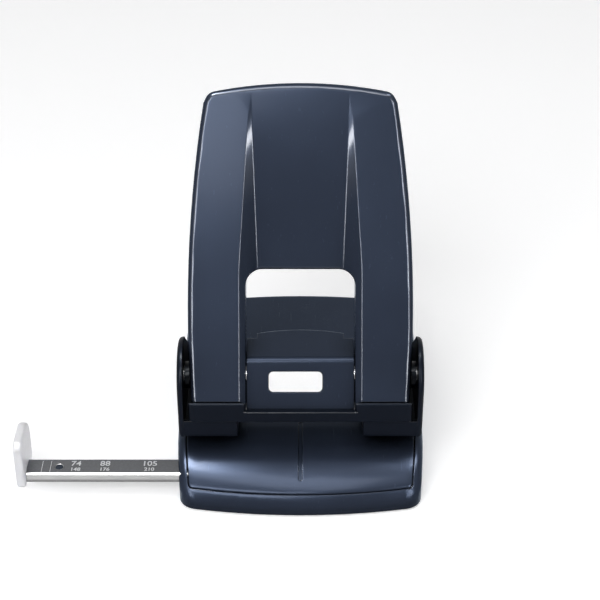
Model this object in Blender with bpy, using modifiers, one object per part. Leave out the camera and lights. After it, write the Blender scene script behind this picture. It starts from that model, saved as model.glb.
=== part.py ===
"""Heavy duty two-hole punch: base, punch mechanism, rear-leaning handle and paper guide.

X is to the right, Y to the back and Z up. The origin is on the table, under the base's
middle. The tall handle is pushed back about the axle, and its cams press the two pins down.
"""
import math

import bmesh
import bpy
from mathutils import Matrix, Vector

MM = 0.001
GAP = 0.3 * MM                      # clearance between pieces that touch
OVERRUN = 2.0 * MM                  # how far a cutter runs past what it cuts
CUT_SNAP = 0.001 * MM               # a cut this near a corner goes through it
MERGE_DISTANCE = 0.01 * MM          # corners closer than this become one

# Driving dimensions across the punch, which follow from the hole spacing
HOLE_SPACING = 80.0 * MM
PIN_X = HOLE_SPACING / 2
HEAD_RADIUS = 4.5 * MM              # of the punch pin's head
HEAD_CLEAR = 0.4 * MM
FORK_HALF = HEAD_RADIUS + HEAD_CLEAR
FRAME_CHEEK = 3.1 * MM
FRAME_HALF = FORK_HALF + FRAME_CHEEK
FRAME_OUTER_GAP = 2.9 * MM          # between the frame and the leg's outer wall
FRAME_INNER_GAP = 3.9 * MM
HANDLE_WALL = 2.2 * MM
HANDLE_HALF = PIN_X + FRAME_HALF + FRAME_OUTER_GAP + HANDLE_WALL
LEG_SIDE_GAP = 2.4 * MM             # room for the washer between leg and ear
EAR_THICK = 2.6 * MM
EAR_INSET = 1.9 * MM                # the ear stands in from the base's side
EAR_INNER = HANDLE_HALF + LEG_SIDE_GAP
EAR_OUTER = EAR_INNER + EAR_THICK
BASE_HALF_WIDTH = EAR_OUTER + EAR_INSET
WINDOW_HALF = PIN_X - FRAME_HALF - FRAME_INNER_GAP - HANDLE_WALL
COVER_SIDE_GAP = 0.4 * MM
COVER_HALF = WINDOW_HALF - COVER_SIDE_GAP

# Driving dimensions along the punch, which follow from the axle
PIVOT_Y = -36.5 * MM
AXLE_RADIUS = 4.0 * MM
BUSH_WALL = 1.6 * MM
BUSH_RADIUS = AXLE_RADIUS + BUSH_WALL
HUB_WALL = 1.9 * MM
LEVER_HUB = BUSH_RADIUS + HUB_WALL
HUB_HEAD_GAP = 0.7 * MM             # between the lever's hub and the pin's head
CAM_RADIUS = LEVER_HUB + HUB_HEAD_GAP + HEAD_RADIUS     # base circle of the involute cams
PIN_Y = PIVOT_Y + CAM_RADIUS
HOLE_MARGIN = 12.2 * MM             # from the hole's centre to the sheet's edge
STOP_FACE = PIN_Y + HOLE_MARGIN
STOP_THICK = 3.2 * MM
STOP_INSET = 2.0 * MM
STOP_HALF = BASE_HALF_WIDTH - STOP_INSET

# Driving dimensions of the base
BASE_FRONT_REACH = 43.1 * MM        # from the axle to the front edge
BASE_FRONT = BASE_FRONT_REACH - PIVOT_Y
BASE_REAR = 78.6 * MM
BASE_END_SAG = 6.5 * MM             # the front and rear edges are arcs with this rise
BASE_END_RADIUS = (BASE_HALF_WIDTH ** 2 + BASE_END_SAG ** 2) / (2 * BASE_END_SAG)
BASE_CORNER = 9.0 * MM
BASE_TAPER_BEHIND = 11.5 * MM       # the sides draw in from here to the front
BASE_TAPER_START = PIVOT_Y + BASE_TAPER_BEHIND
BASE_TAPER_RADIUS = 400.0 * MM
BASE_BOTTOM = 1.0 * MM
BASE_WALL = 2.5 * MM
BASE_RIM = 3.4 * MM                 # rounding of the rim
TRAY_DEPTH = 4.0 * MM
TRAY_RIM = BASE_BOTTOM + TRAY_DEPTH
BOSS_ABOVE = 1.5 * MM
FOOT_BOSS_TOP = TRAY_RIM + BOSS_ABOVE
RAIL_THICK = 1.5 * MM
RULER_BOTTOM = FOOT_BOSS_TOP + RAIL_THICK + GAP * 2
RULER_DEPTH = 4.8 * MM
RULER_TOP = RULER_BOTTOM + RULER_DEPTH
RULER_COVER = 6.8 * MM              # from the guide up to the deck
DECK_TOP = RULER_TOP + RULER_COVER
NOSE_RADIUS = 40.4 * MM             # side-view radius of the sloping nose
NOSE_LENGTH = 29.6 * MM
NOSE_START = NOSE_LENGTH - BASE_FRONT
NOSE_REACH_SHARE = 0.95             # share of the nose's radius that is used
NOSE_BEND_BEHIND = 8.0 * MM         # ahead of this the contours follow the front edge
NOSE_BEND_LENGTH = 12.0 * MM        # and over this length they straighten
NOSE_BEND_FULL = NOSE_START + NOSE_BEND_BEHIND
NOSE_BEND_END = NOSE_BEND_FULL + NOSE_BEND_LENGTH
STEP_BEHIND = 3.6 * MM              # the casing rises here, behind the paper stop
STEP_LENGTH = 9.0 * MM
STEP_START = STOP_FACE + STEP_BEHIND
STEP_END = STEP_START + STEP_LENGTH
STEP_HEIGHT = 3.8 * MM
REAR_TOP = DECK_TOP + STEP_HEIGHT
SHELF_WALL = 2.2 * MM               # casing wall under the deck
DECK_THICK = 2.5 * MM
DECK_SIDE_INSET = 4.4 * MM
DECK_FRONT_INSET = 3.8 * MM
DECK_CORNER = 2.2 * MM
DECK_EDGE = 0.5 * MM
DECK_REAR = STOP_FACE - GAP
DECK_LINE_GAP = 0.45 * MM           # width of the joint line round the deck
CENTRE_LINE_WIDTH = 2.1 * MM
CENTRE_LINE_DEPTH = 0.7 * MM
CENTRE_LINE_INSET = 9.1 * MM        # from the front edge
CENTRE_LINE_LENGTH = 46.5 * MM
CENTRE_LINE_FRONT = CENTRE_LINE_INSET - BASE_FRONT
CENTRE_LINE_REAR = CENTRE_LINE_FRONT + CENTRE_LINE_LENGTH

# Driving dimensions of the throat and the punches
HOLE_RADIUS = 3.0 * MM
THROAT_HEIGHT = 7.8 * MM
THROAT_TOP = DECK_TOP + THROAT_HEIGHT
PRESS_ANGLE = math.radians(45.0)
FLUTE_DEPTH = 8.0 * MM
CROSSBAR_RADIUS = 2.5 * MM
CROSSBAR_CLEAR = 0.2 * MM           # behind the deepest part of the flutes' wall
FACE_OFFSET = FLUTE_DEPTH + HANDLE_WALL + CROSSBAR_CLEAR + CROSSBAR_RADIUS
LEG_SHOULDER = 4.1 * MM
LEG_END_RADIUS = FACE_OFFSET + LEG_SHOULDER
RUN_CLEARANCE = 0.3 * MM            # radial, in bores that turn or slide

# Punch frames
FRAME_BOTTOM = 5.5 * MM
GUIDE_ROOF = 2.8 * MM               # from the throat up to the guide arm
GUIDE_HEIGHT = 3.7 * MM
LEG_LOW_GAP = 0.5 * MM              # between the guide arm and the leg's round end
GUIDE_BOTTOM = THROAT_TOP + GUIDE_ROOF
GUIDE_TOP = GUIDE_BOTTOM + GUIDE_HEIGHT
PIVOT_Z = GUIDE_TOP + LEG_LOW_GAP + LEG_END_RADIUS
FRAME_ARM_AHEAD = 2.5 * MM
FRAME_COLUMN = 15.5 * MM
FRAME_SHOULDER = 12.0 * MM          # the column's back ends this far under the axle
GUIDE_AHEAD = 10.0 * MM
COLUMN_BEHIND = 0.9 * MM
FRAME_FRONT_LOW = PIVOT_Y - FRAME_ARM_AHEAD
FRAME_THROAT_BACK = STOP_FACE + STOP_THICK + COLUMN_BEHIND
FRAME_REAR = FRAME_THROAT_BACK + FRAME_COLUMN
FRAME_EYE = 7.0 * MM                # radius of the frame's eye round the axle
GUIDE_FRONT = PIN_Y - GUIDE_AHEAD
CHIP_RADIUS = 4.5 * MM
FRAME_BACK_TOP = PIVOT_Z - FRAME_SHOULDER
SLOT_CLEAR = 0.35 * MM

# Punch pins and springs
HEAD_THICK = 3.0 * MM
PIN_TIP_ABOVE_THROAT = 0.5 * MM
PIN_NOTCH = 1.6 * MM
SPRING_WIRE = 0.7 * MM
SPRING_CLEAR = 0.6 * MM             # between the pin and the coil
SPRING_COIL = HOLE_RADIUS + SPRING_CLEAR + SPRING_WIRE / 2
SPRING_TURNS = 4
SPRING_POINTS = 10
DIE_CLEARANCE = 0.12 * MM
DIE_END = 10.0 * MM                 # from a hole's centre to the die plate's end
DIE_HALF_LENGTH = PIN_X + DIE_END
DIE_SIDE_MARGIN = 4.5 * MM
DIE_HALF_WIDTH = HOLE_RADIUS + DIE_SIDE_MARGIN
DIE_THICK = 2.5 * MM
TIE_ABOVE = 3.1 * MM
TIE_THICK = 2.4 * MM
TIE_BEHIND = 3.5 * MM
TIE_LENGTH = 20.0 * MM
TIE_BOTTOM = GUIDE_TOP + TIE_ABOVE
TIE_FRONT = PIVOT_Y + TIE_BEHIND
TIE_REAR = TIE_FRONT + TIE_LENGTH

# Side shrouds, front bar and front cover
EAR_RADIUS = 18.3 * MM
EAR_ROUND = 2.0 * MM
EAR_FOOT = 16.0 * MM                # the ear's foot reaches this far behind the frame
EAR_REAR = FRAME_REAR + EAR_FOOT
LEG_SWEEP_GAP = 0.6 * MM
JAW_AHEAD = 17.5 * MM
JAW_WALL = 1.9 * MM
JAW_ROOF = 2.5 * MM
JAW_FRONT = PIVOT_Y - JAW_AHEAD
JAW_INNER = PIN_X - FRAME_HALF - GAP - JAW_WALL
JAW_TOP = GUIDE_TOP + JAW_ROOF
JAW_BACK_WALL = 3.0 * MM
JAW_REAR = FRAME_REAR + JAW_BACK_WALL
BAR_AHEAD = 18.1 * MM
BAR_DEPTH = 11.6 * MM
BAR_HEIGHT = 11.0 * MM
BAR_STRIP_HEIGHT = 5.8 * MM
BAR_STRIP_DEPTH = 2.6 * MM
BAR_FRONT = PIVOT_Y - BAR_AHEAD
BAR_BACK = BAR_FRONT + BAR_DEPTH
BAR_TOP = JAW_TOP + BAR_HEIGHT
BAR_SIDE_GAP = 2.5 * MM
BAR_HALF = EAR_INNER - BAR_SIDE_GAP
BAR_STRIP_TOP = JAW_TOP + BAR_STRIP_HEIGHT
BAR_STRIP_BACK = BAR_FRONT + BAR_STRIP_DEPTH
BAR_ROUND = 1.8 * MM
COVER_AHEAD = 15.0 * MM
COVER_SKIRT = 1.2 * MM
COVER_BEHIND = 22.7 * MM
COVER_FRONT_Y = PIVOT_Y - COVER_AHEAD
COVER_BOTTOM = TIE_BOTTOM + TIE_THICK + GAP
COVER_FRONT_Z = COVER_BOTTOM + COVER_SKIRT
COVER_FACE = 25.0 * MM              # length of the leaning front face
COVER_BACK = PIVOT_Y + COVER_BEHIND
COVER_BACK_SAG = 4.5 * MM
COVER_WALL = 2.2 * MM
COVER_ROUND = 2.0 * MM
COVER_NOTCH = 4.6 * MM              # the top's rear corners are cut out
COVER_NOTCH_DEPTH = 4.2 * MM
COVER_NOTCH_DROP = 8.0 * MM
LABEL_WIDTH = 25.4 * MM
LABEL_HEIGHT = 9.6 * MM
LABEL_THICK = 0.35 * MM
LABEL_CORNER = 2.1 * MM
LABEL_X = -2.3 * MM
LABEL_UP = 14.0 * MM                # along the face, from its lower edge

# Handle, in its own frame: Y along the handle, Z out of the front face, from the axle
HANDLE_TILT = math.radians(62.0)
HANDLE_TIP = 138.0 * MM             # the tip's distance from the axle
HANDLE_WIDEST = 30.0 * MM
SIDE_RADIUS = 626.0 * MM
CROWN_RADIUS = 213.0 * MM
CROWN_CORNER = 5.5 * MM
LEG_BACK_MARGIN = 4.1 * MM          # material behind the axle
HANDLE_DEPTH_LOW = FACE_OFFSET + AXLE_RADIUS + LEG_BACK_MARGIN
HANDLE_DEPTH_TIP = 12.5 * MM
HANDLE_ROUND = 2.9 * MM
FLUTE_TIP_INSET = 5.0 * MM          # from the handle's tip to the flutes' upper points
FLUTE_LENGTH = 83.0 * MM
FLUTE_TOP = HANDLE_TIP - FLUTE_TIP_INSET
FLUTE_LOW = FLUTE_TOP - FLUTE_LENGTH
FLUTE_SPREAD = 2.9 * MM             # the flute's edges, from the leg's inner side
FLUTE_DRAW = 2.4 * MM
FLUTE_TIP_DRAW = 3.1 * MM
FLUTE_FOOT_DRAW = 5.6 * MM
FLUTE_OUTER_TOP = WINDOW_HALF - FLUTE_DRAW
FLUTE_OUTER_LOW = WINDOW_HALF + FLUTE_SPREAD
FLUTE_INNER_TOP = WINDOW_HALF - FLUTE_TIP_DRAW
FLUTE_INNER_LOW = WINDOW_HALF - FLUTE_FOOT_DRAW
FLUTE_ROUND = 1.4 * MM              # radius at the flute's outer edge
FLUTE_FILLET = 1.8 * MM             # radius at its foot
FLUTE_POWER = 1.5                   # how the depth grows down the flute
FLUTE_EDGE_POWER = 0.85             # how its outer edge spreads
FACE_SKIM = 0.02 * MM               # keeps a cutter's edge off the face it rounds into
WINDOW_ABOVE = 0.8 * MM
WINDOW_TOP = FLUTE_LOW + WINDOW_ABOVE
WINDOW_CORNER = 7.6 * MM
WINDOW_ROUND = 1.7 * MM

# Levers inside the handle
LEVER_HALF = 2.5 * MM
LEVER_ARM_FRONT = 5.2 * MM          # arm's front edge, ahead of the axle
LEVER_ARM_BACK = 3.6 * MM
BUSH_HALF = 2.9 * MM
CROSSBAR_ABOVE = 9.2 * MM           # above the window
CROSSBAR_AT = WINDOW_TOP + CROSSBAR_ABOVE
LEVER_END = 6.0 * MM                # from the crossbar to the lever's end
LEVER_TOP = CROSSBAR_AT + LEVER_END
SCREW_LOW_SHARE = 0.364             # the screws' places as shares of the lever's length
SCREW_HIGH_SHARE = 0.758
HANDLE_SCREWS_AT = (LEVER_TOP * SCREW_LOW_SHARE, LEVER_TOP * SCREW_HIGH_SHARE)
LUG_SIDE_GAP = 2.4 * MM
LUG_REACH = FRAME_HALF + FRAME_OUTER_GAP - LUG_SIDE_GAP - LEVER_HALF
LUG_HALF = 4.0 * MM
LUG_THICK = 3.0 * MM
SCREW_SHANK = 1.5 * MM
SCREW_HEAD = 2.8 * MM
SCREW_HEAD_THICK = 1.8 * MM
BOSS_RADIUS = 3.4 * MM
WASHER_RIM = 2.5 * MM
WASHER_RADIUS = AXLE_RADIUS + WASHER_RIM

# Paper guide
RULER_INSET = 15.6 * MM             # from the base's front edge
RULER_WIDTH = 11.0 * MM
RULER_FRONT = RULER_INSET - BASE_FRONT
RULER_BACK = RULER_FRONT + RULER_WIDTH
RULER_SHEET = 1.2 * MM
RULER_FLANGE = 1.5 * MM
RULER_SHOWN = 71.5 * MM             # how far it stands out of the base
RULER_OUT = -BASE_HALF_WIDTH - RULER_SHOWN
RULER_PARK = 2.5 * MM               # and how far when it is pushed in
RULER_INWARD = RULER_SHOWN - RULER_PARK
RULER_TAPER_RUN = BASE_TAPER_START - RULER_FRONT
RULER_TAPER = RULER_TAPER_RUN ** 2 / (2 * BASE_TAPER_RADIUS)
RAIL_END_GAP = 0.6 * MM
RAIL_HALF = BASE_HALF_WIDTH - BASE_WALL - RULER_TAPER - RAIL_END_GAP
RULER_IN = RAIL_HALF - RULER_INWARD
RULER_ROUND = 1.4 * MM
RULER_HOLE_RADIUS = 2.1 * MM
RULER_HOLE_INSET = 15.7 * MM
RULER_HOLE_X = RULER_OUT + RULER_HOLE_INSET
STOP_PLATE_THICK = 4.2 * MM
STOP_PLATE_AHEAD = 2.5 * MM
STOP_PLATE_FRONT = RULER_FRONT - STOP_PLATE_AHEAD
STOP_PLATE_DEPTH = 26.0 * MM
STOP_PLATE_BELOW = 8.4 * MM
STOP_PLATE_ABOVE = 18.6 * MM
STOP_PLATE_BOTTOM = RULER_TOP - STOP_PLATE_BELOW
STOP_PLATE_TOP = RULER_TOP + STOP_PLATE_ABOVE
STOP_PLATE_ROUND = 1.2 * MM
STOP_CORNER_SHARE = 0.42            # corner radii as shares of the end stop's depth
STOP_LOW_CORNER_SHARE = 0.17
STOP_FOOT = 12.0 * MM
RAIL_DROP = 2.4 * MM
RIVET_RADIUS = 1.1 * MM
RIVET_HEAD = 1.9 * MM
RIVET_HEAD_THICK = 0.8 * MM
DETENT_LENGTH = 16.0 * MM
DETENT_THICK = 0.5 * MM
DETENT_MARGIN = 1.0 * MM
DETENT_X = STOP_FOOT - BASE_HALF_WIDTH - RULER_PARK + DETENT_LENGTH / 2 + DETENT_MARGIN

# Underside
FOOT_RADIUS = 6.0 * MM
FOOT_THICK = 1.2 * MM
FOOT_SIDE_INSET = 10.0 * MM
FOOT_FRONT_INSET = 16.6 * MM
FOOT_REAR_INSET = 15.6 * MM
FOOT_X = BASE_HALF_WIDTH - FOOT_SIDE_INSET
FOOT_FRONT_Y = FOOT_FRONT_INSET - BASE_FRONT
FOOT_REAR_Y = BASE_REAR - FOOT_REAR_INSET
FOOT_BOSS_RIM = 2.6 * MM
FOOT_BOSS_RADIUS = FOOT_RADIUS + FOOT_BOSS_RIM
PLATE_THICK = 1.7 * MM
TRAY_SIDE_INSET = 6.0 * MM
TRAY_HALF = BASE_HALF_WIDTH - TRAY_SIDE_INSET
TRAY_NOSE_GAP = 1.4 * MM
TRAY_NOSE_HALF = FOOT_X - FOOT_BOSS_RADIUS - TRAY_NOSE_GAP
TRAY_END_INSET = 10.6 * MM
TRAY_FRONT = TRAY_END_INSET - BASE_FRONT
TRAY_FLOOR = 1.3 * MM
TRAY_WALL = 1.5 * MM
HINGE_BEHIND = 9.8 * MM
HINGE_Y = PIN_Y + HINGE_BEHIND
HINGE_PIN = 1.2 * MM
HINGE_RIM = 1.2 * MM
KNUCKLE = HINGE_PIN + HINGE_RIM
KNUCKLE_LENGTH = 9.0 * MM
KNUCKLE_GAP = 1.0 * MM
KNUCKLE_INSET = 5.0 * MM            # from the punch frame in to the outer knuckle
PLATE_KNUCKLE_END = PIN_X - FRAME_HALF - KNUCKLE_INSET
PLATE_KNUCKLE_START = PLATE_KNUCKLE_END - KNUCKLE_LENGTH
TRAY_KNUCKLE_END = PLATE_KNUCKLE_START - KNUCKLE_GAP
TRAY_KNUCKLE_START = TRAY_KNUCKLE_END - KNUCKLE_LENGTH
FRAME_SCREW_AHEAD = 10.2 * MM
FRAME_SCREW_BEHIND = 11.3 * MM
FRAME_SCREWS_Y = (PIN_Y - FRAME_SCREW_AHEAD, PIN_Y + FRAME_SCREW_BEHIND)
FRAME_SCREW_SHANK = 1.7 * MM
FRAME_SCREW_HEAD = 3.6 * MM
FRAME_SCREW_HEAD_THICK = 1.9 * MM
COVER_SCREW_X = 14.0 * MM
COVER_SCREW_Y = PIN_Y
COVER_BOSS_RADIUS = 3.2 * MM

# Shading and sides
SMOOTH_ANGLE = math.radians(35.0)
FLAT_ANGLE = math.radians(0.05)      # faces flatter than this are joined before rounding
NOSE_COLUMNS = 12                    # facets across the nose
LINE_STEPS = 24                      # sides of a round piece

# Values that follow from those above
HEAD_TOP = PIVOT_Z - GAP
HINGE_Z = BASE_BOTTOM + KNUCKLE
SHELF_TOP_DROP = DECK_THICK + GAP
SWEEP_RADIUS = LEG_END_RADIUS + LEG_SWEEP_GAP
COVER_TOP_Y = COVER_FRONT_Y + COVER_FACE * math.cos(HANDLE_TILT)
COVER_TOP_Z = COVER_FRONT_Z + COVER_FACE * math.sin(HANDLE_TILT)


def new_object(name, mesh):
    """Link a mesh as a named object."""
    piece = bpy.data.objects.new(name, mesh)
    PARTS.objects.link(piece)
    return piece


def paint(piece, colour, roughness, metallic):
    """Give a piece one Principled material."""
    surface = bpy.data.materials.new(piece.name)
    surface.use_nodes = True
    shader = surface.node_tree.nodes["Principled BSDF"]
    shader.inputs["Base Color"].default_value = (*colour, 1.0)
    shader.inputs["Roughness"].default_value = roughness
    shader.inputs["Metallic"].default_value = metallic
    piece.data.materials.clear()
    piece.data.materials.append(surface)


def mesh_object(name, shape):
    """Turn a bmesh into an object with outward faces."""
    bmesh.ops.recalc_face_normals(shape, faces=shape.faces)
    mesh = bpy.data.meshes.new(name)
    shape.to_mesh(mesh)
    shape.free()
    return new_object(name, mesh)


def arc(centre, radius, start, end, steps):
    """Points on an arc, in degrees, both ends included."""
    points = []
    for index in range(steps + 1):
        angle = math.radians(start + (end - start) * index / steps)
        points.append((centre[0] + radius * math.cos(angle), centre[1] + radius * math.sin(angle)))
    return points


def prism(name, outline, low, high, axis="Z"):
    """Extrude a flat outline. Along Z it is read as X and Y, and along X as Y and Z."""
    shape = bmesh.new()
    corners = []
    for first, second in outline:
        place = (first, second, low) if axis == "Z" else (low, first, second)
        corners.append(shape.verts.new(place))
    face = shape.faces.new(corners)
    grown = bmesh.ops.extrude_face_region(shape, geom=[face])
    moved = [item for item in grown["geom"] if isinstance(item, bmesh.types.BMVert)]
    shift = (0, 0, high - low) if axis == "Z" else (high - low, 0, 0)
    bmesh.ops.translate(shape, verts=moved, vec=shift)
    return mesh_object(name, shape)


def loft(name, rings):
    """A closed skin through rings of points, with an end face on the first and last."""
    shape = bmesh.new()
    rows = [[shape.verts.new(place) for place in ring] for ring in rings]
    size = len(rows[0])
    for first, second in zip(rows, rows[1:]):
        for index in range(size):
            after = (index + 1) % size
            shape.faces.new((first[index], first[after], second[after], second[index]))
    shape.faces.new(rows[0])
    shape.faces.new(rows[-1])
    return mesh_object(name, shape)


def box(name, low, high):
    """A cuboid between two corners."""
    shape = bmesh.new()
    bmesh.ops.create_cube(shape, size=1.0)
    size = Vector(high) - Vector(low)
    middle = (Vector(high) + Vector(low)) / 2
    bmesh.ops.scale(shape, vec=size, verts=shape.verts)
    bmesh.ops.translate(shape, vec=middle, verts=shape.verts)
    return mesh_object(name, shape)


def rod(name, radius, start, end, steps=LINE_STEPS, end_radius=None):
    """A round bar or cone between two points."""
    shape = bmesh.new()
    line = Vector(end) - Vector(start)
    last = radius if end_radius is None else end_radius
    bmesh.ops.create_cone(shape, cap_ends=True, segments=steps, radius1=radius, radius2=last,
                          depth=line.length)
    turn = line.to_track_quat("Z", "Y").to_matrix().to_4x4()
    middle = (Vector(start) + Vector(end)) / 2
    bmesh.ops.transform(shape, matrix=Matrix.Translation(middle) @ turn, verts=shape.verts)
    return mesh_object(name, shape)


def evaluated_mesh(piece):
    """The mesh of a piece with its modifiers."""
    bpy.context.view_layer.update()
    graph = bpy.context.evaluated_depsgraph_get()
    return bpy.data.meshes.new_from_object(piece.evaluated_get(graph))


def combine(piece, tool, operation="DIFFERENCE"):
    """Cut or join a piece with a tool, and remove the tool."""
    step = piece.modifiers.new("combine", "BOOLEAN")
    step.operation = operation
    step.solver = "EXACT"
    step.object = tool
    mesh = evaluated_mesh(piece)
    piece.modifiers.clear()
    shape = bmesh.new()
    shape.from_mesh(mesh)
    bmesh.ops.remove_doubles(shape, verts=shape.verts, dist=CUT_SNAP)
    bmesh.ops.dissolve_degenerate(shape, edges=shape.edges, dist=CUT_SNAP)
    shape.to_mesh(mesh)
    shape.free()
    piece.data = mesh
    bpy.data.objects.remove(tool)
    return piece


def round_edges(piece, width, segments, chosen):
    """Round the edges that a test on the edge picks."""
    shape = bmesh.new()
    shape.from_mesh(piece.data)
    bmesh.ops.dissolve_limit(shape, angle_limit=FLAT_ANGLE, verts=shape.verts,
                             edges=shape.edges)
    picked = [edge for edge in shape.edges if len(edge.link_faces) == 2 and chosen(edge)]
    bmesh.ops.bevel(shape, geom=picked, offset=width, offset_type="OFFSET", segments=segments,
                    profile=0.5, affect="EDGES", clamp_overlap=False)
    bmesh.ops.recalc_face_normals(shape, faces=shape.faces)
    shape.to_mesh(piece.data)
    shape.free()
    return piece


def finish(piece, name, colour, roughness, metallic=0.0, parent=None):
    """Name, paint and shade a piece, and hang it on its joint's frame."""
    piece.name = name
    piece.data.name = name
    paint(piece, colour, roughness, metallic)
    piece.data.shade_smooth()
    piece.data.set_sharp_from_angle(angle=SMOOTH_ANGLE)
    if parent is not None:
        piece.parent = parent
    return piece


def set_origin(piece, place):
    """Move a piece's origin without moving its shape."""
    piece.data.transform(Matrix.Translation(-Vector(place)))
    piece.location = place
    return piece


def side_name(side):
    """The word for a side: minus one is left and plus one is right."""
    return "left" if side < 0 else "right"


def smooth_top(depth):
    """Height of the base's smooth top at a place along Y."""
    if depth < NOSE_START:
        run = min(NOSE_START - depth, NOSE_RADIUS * NOSE_REACH_SHARE)
        return DECK_TOP - NOSE_RADIUS + math.sqrt(NOSE_RADIUS ** 2 - run ** 2)
    share = min(max((depth - STEP_START) / (STEP_END - STEP_START), 0.0), 1.0)
    return DECK_TOP + (REAR_TOP - DECK_TOP) * share * share * (3 - 2 * share)


def base_stations():
    """Places along Y where the top surface bends."""
    count = 14
    front = -BASE_FRONT - OVERRUN
    places = []
    for index in range(count):
        places.append(front + (NOSE_START - front) * index / (count - 1))
    for index in range(7):
        places.append(STEP_START + (STEP_END - STEP_START) * index / 6)
    return places


def base_top(depth):
    """Height of the base's faceted top, straight between its stations."""
    places = base_stations()
    if depth >= places[-1]:
        return smooth_top(depth)
    for first, second in zip(places, places[1:]):
        if depth <= second:
            share = (depth - first) / (second - first)
            return smooth_top(first) * (1 - share) + smooth_top(second) * share
    return REAR_TOP


def side_taper(along):
    """How far the base's sides are drawn in at a place along Y."""
    run = max(BASE_TAPER_START - along, 0.0)
    return BASE_TAPER_RADIUS - math.sqrt(BASE_TAPER_RADIUS ** 2 - run ** 2)


def base_outline(inset, end_inset, rear=None, corner=None):
    """The base in plan, drawn in by an inset, with a straight back edge when rear is given."""
    corner = BASE_CORNER - inset if corner is None else corner
    radius = BASE_END_RADIUS - end_inset
    front_centre = BASE_END_RADIUS - BASE_FRONT
    start = corner - BASE_FRONT
    for _ in range(3):
        half = BASE_HALF_WIDTH - inset - side_taper(start)
        lean = math.asin((half - corner) / (radius - corner))
        start = front_centre - (radius - corner) * math.cos(lean)
    turn = math.degrees(lean)
    skew = math.degrees(math.asin((BASE_TAPER_START - start) / BASE_TAPER_RADIUS))
    right = arc((0, front_centre), radius, 270, 270 + turn, 7)
    right += arc((half - corner, start), corner, 270 + turn, 360 - skew, 5)[1:]
    for index in range(1, 7):
        along = start + (BASE_TAPER_START - start) * index / 6
        right.append((BASE_HALF_WIDTH - inset - side_taper(along), along))
    half = BASE_HALF_WIDTH - inset
    if rear is None:
        lean = math.asin((half - corner) / (radius - corner))
        rear_centre = BASE_REAR - BASE_END_RADIUS
        middle = rear_centre + (radius - corner) * math.cos(lean)
        turn = math.degrees(lean)
        right += arc((half - corner, middle), corner, 0, 90 - turn, 6)
        right += arc((0, rear_centre), radius, 90 - turn, 90, 7)[1:]
    else:
        right.append((half, rear))
    return right + [(-across, along) for across, along in reversed(right) if across > CUT_SNAP]


def nose_sag(across):
    """How far back the front edge lies at a place along X, straight between its stations."""
    step = 2 * BASE_HALF_WIDTH / NOSE_COLUMNS
    first = math.floor(across / step) * step
    share = (across - first) / step
    return (first ** 2 * (1 - share) + (first + step) ** 2 * share) / (2 * BASE_END_RADIUS)


def unbend(vertex, back=False):
    """Straighten the contours of the nose for cutting, or bend them back again."""
    span = NOSE_BEND_END - NOSE_BEND_FULL
    sag = nose_sag(vertex.co.x)
    along = vertex.co.y
    if back:
        if along <= NOSE_BEND_FULL - sag:
            vertex.co.y = along + sag
        elif along < NOSE_BEND_END:
            vertex.co.y = (along + sag * NOSE_BEND_END / span) / (1 + sag / span)
    else:
        weight = min(max((NOSE_BEND_END - along) / span, 0.0), 1.0)
        vertex.co.y = along - sag * weight


def split(shape, place, normal, ahead=None):
    """Cut faces along a plane: all of them, or those that lie ahead of a place along Y."""
    faces = [face for face in shape.faces if ahead is None or face.calc_center_median().y < ahead]
    chosen = dict.fromkeys(faces)
    for face in faces:
        chosen.update(dict.fromkeys(face.edges))
        chosen.update(dict.fromkeys(face.verts))
    bmesh.ops.bisect_plane(shape, geom=list(chosen), dist=CUT_SNAP, plane_co=place,
                           plane_no=normal)


def contoured_slab(name, outline, bottom, top, rim=0.0, segments=4):
    """A slab whose top and bottom follow heights along Y, with a rounded rim."""
    tall = BASE_HALF_WIDTH
    piece = prism(name, outline, 0, tall)
    if rim > 0:
        round_edges(piece, rim, segments, lambda edge: min(v.co.z for v in edge.verts) > tall / 2)
    shape = bmesh.new()
    shape.from_mesh(piece.data)

    split(shape, (0, NOSE_BEND_END, 0), (0, 1, 0))
    split(shape, (0, NOSE_BEND_FULL, 0), (0, 1, 0))
    for column in range(1, NOSE_COLUMNS):
        across = -BASE_HALF_WIDTH + 2 * BASE_HALF_WIDTH * column / NOSE_COLUMNS
        split(shape, (across, 0, 0), (1, 0, 0), NOSE_BEND_FULL)
    for vertex in shape.verts:
        unbend(vertex)
    for place in base_stations():
        split(shape, (0, place, 0), (0, 1, 0))
    for vertex in shape.verts:
        depth = vertex.co.y
        if vertex.co.z > tall / 2:
            vertex.co.z = top(depth) + vertex.co.z - tall
        else:
            vertex.co.z = bottom(depth)
        unbend(vertex, True)
    bmesh.ops.recalc_face_normals(shape, faces=shape.faces)
    shape.to_mesh(piece.data)
    shape.free()
    return piece


def foot_pocket(place):
    """The shallow recess that a foot sits in."""
    return rod("pocket", FOOT_RADIUS + GAP, (*place, -OVERRUN), (*place, FOOT_THICK + GAP), 28)


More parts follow.
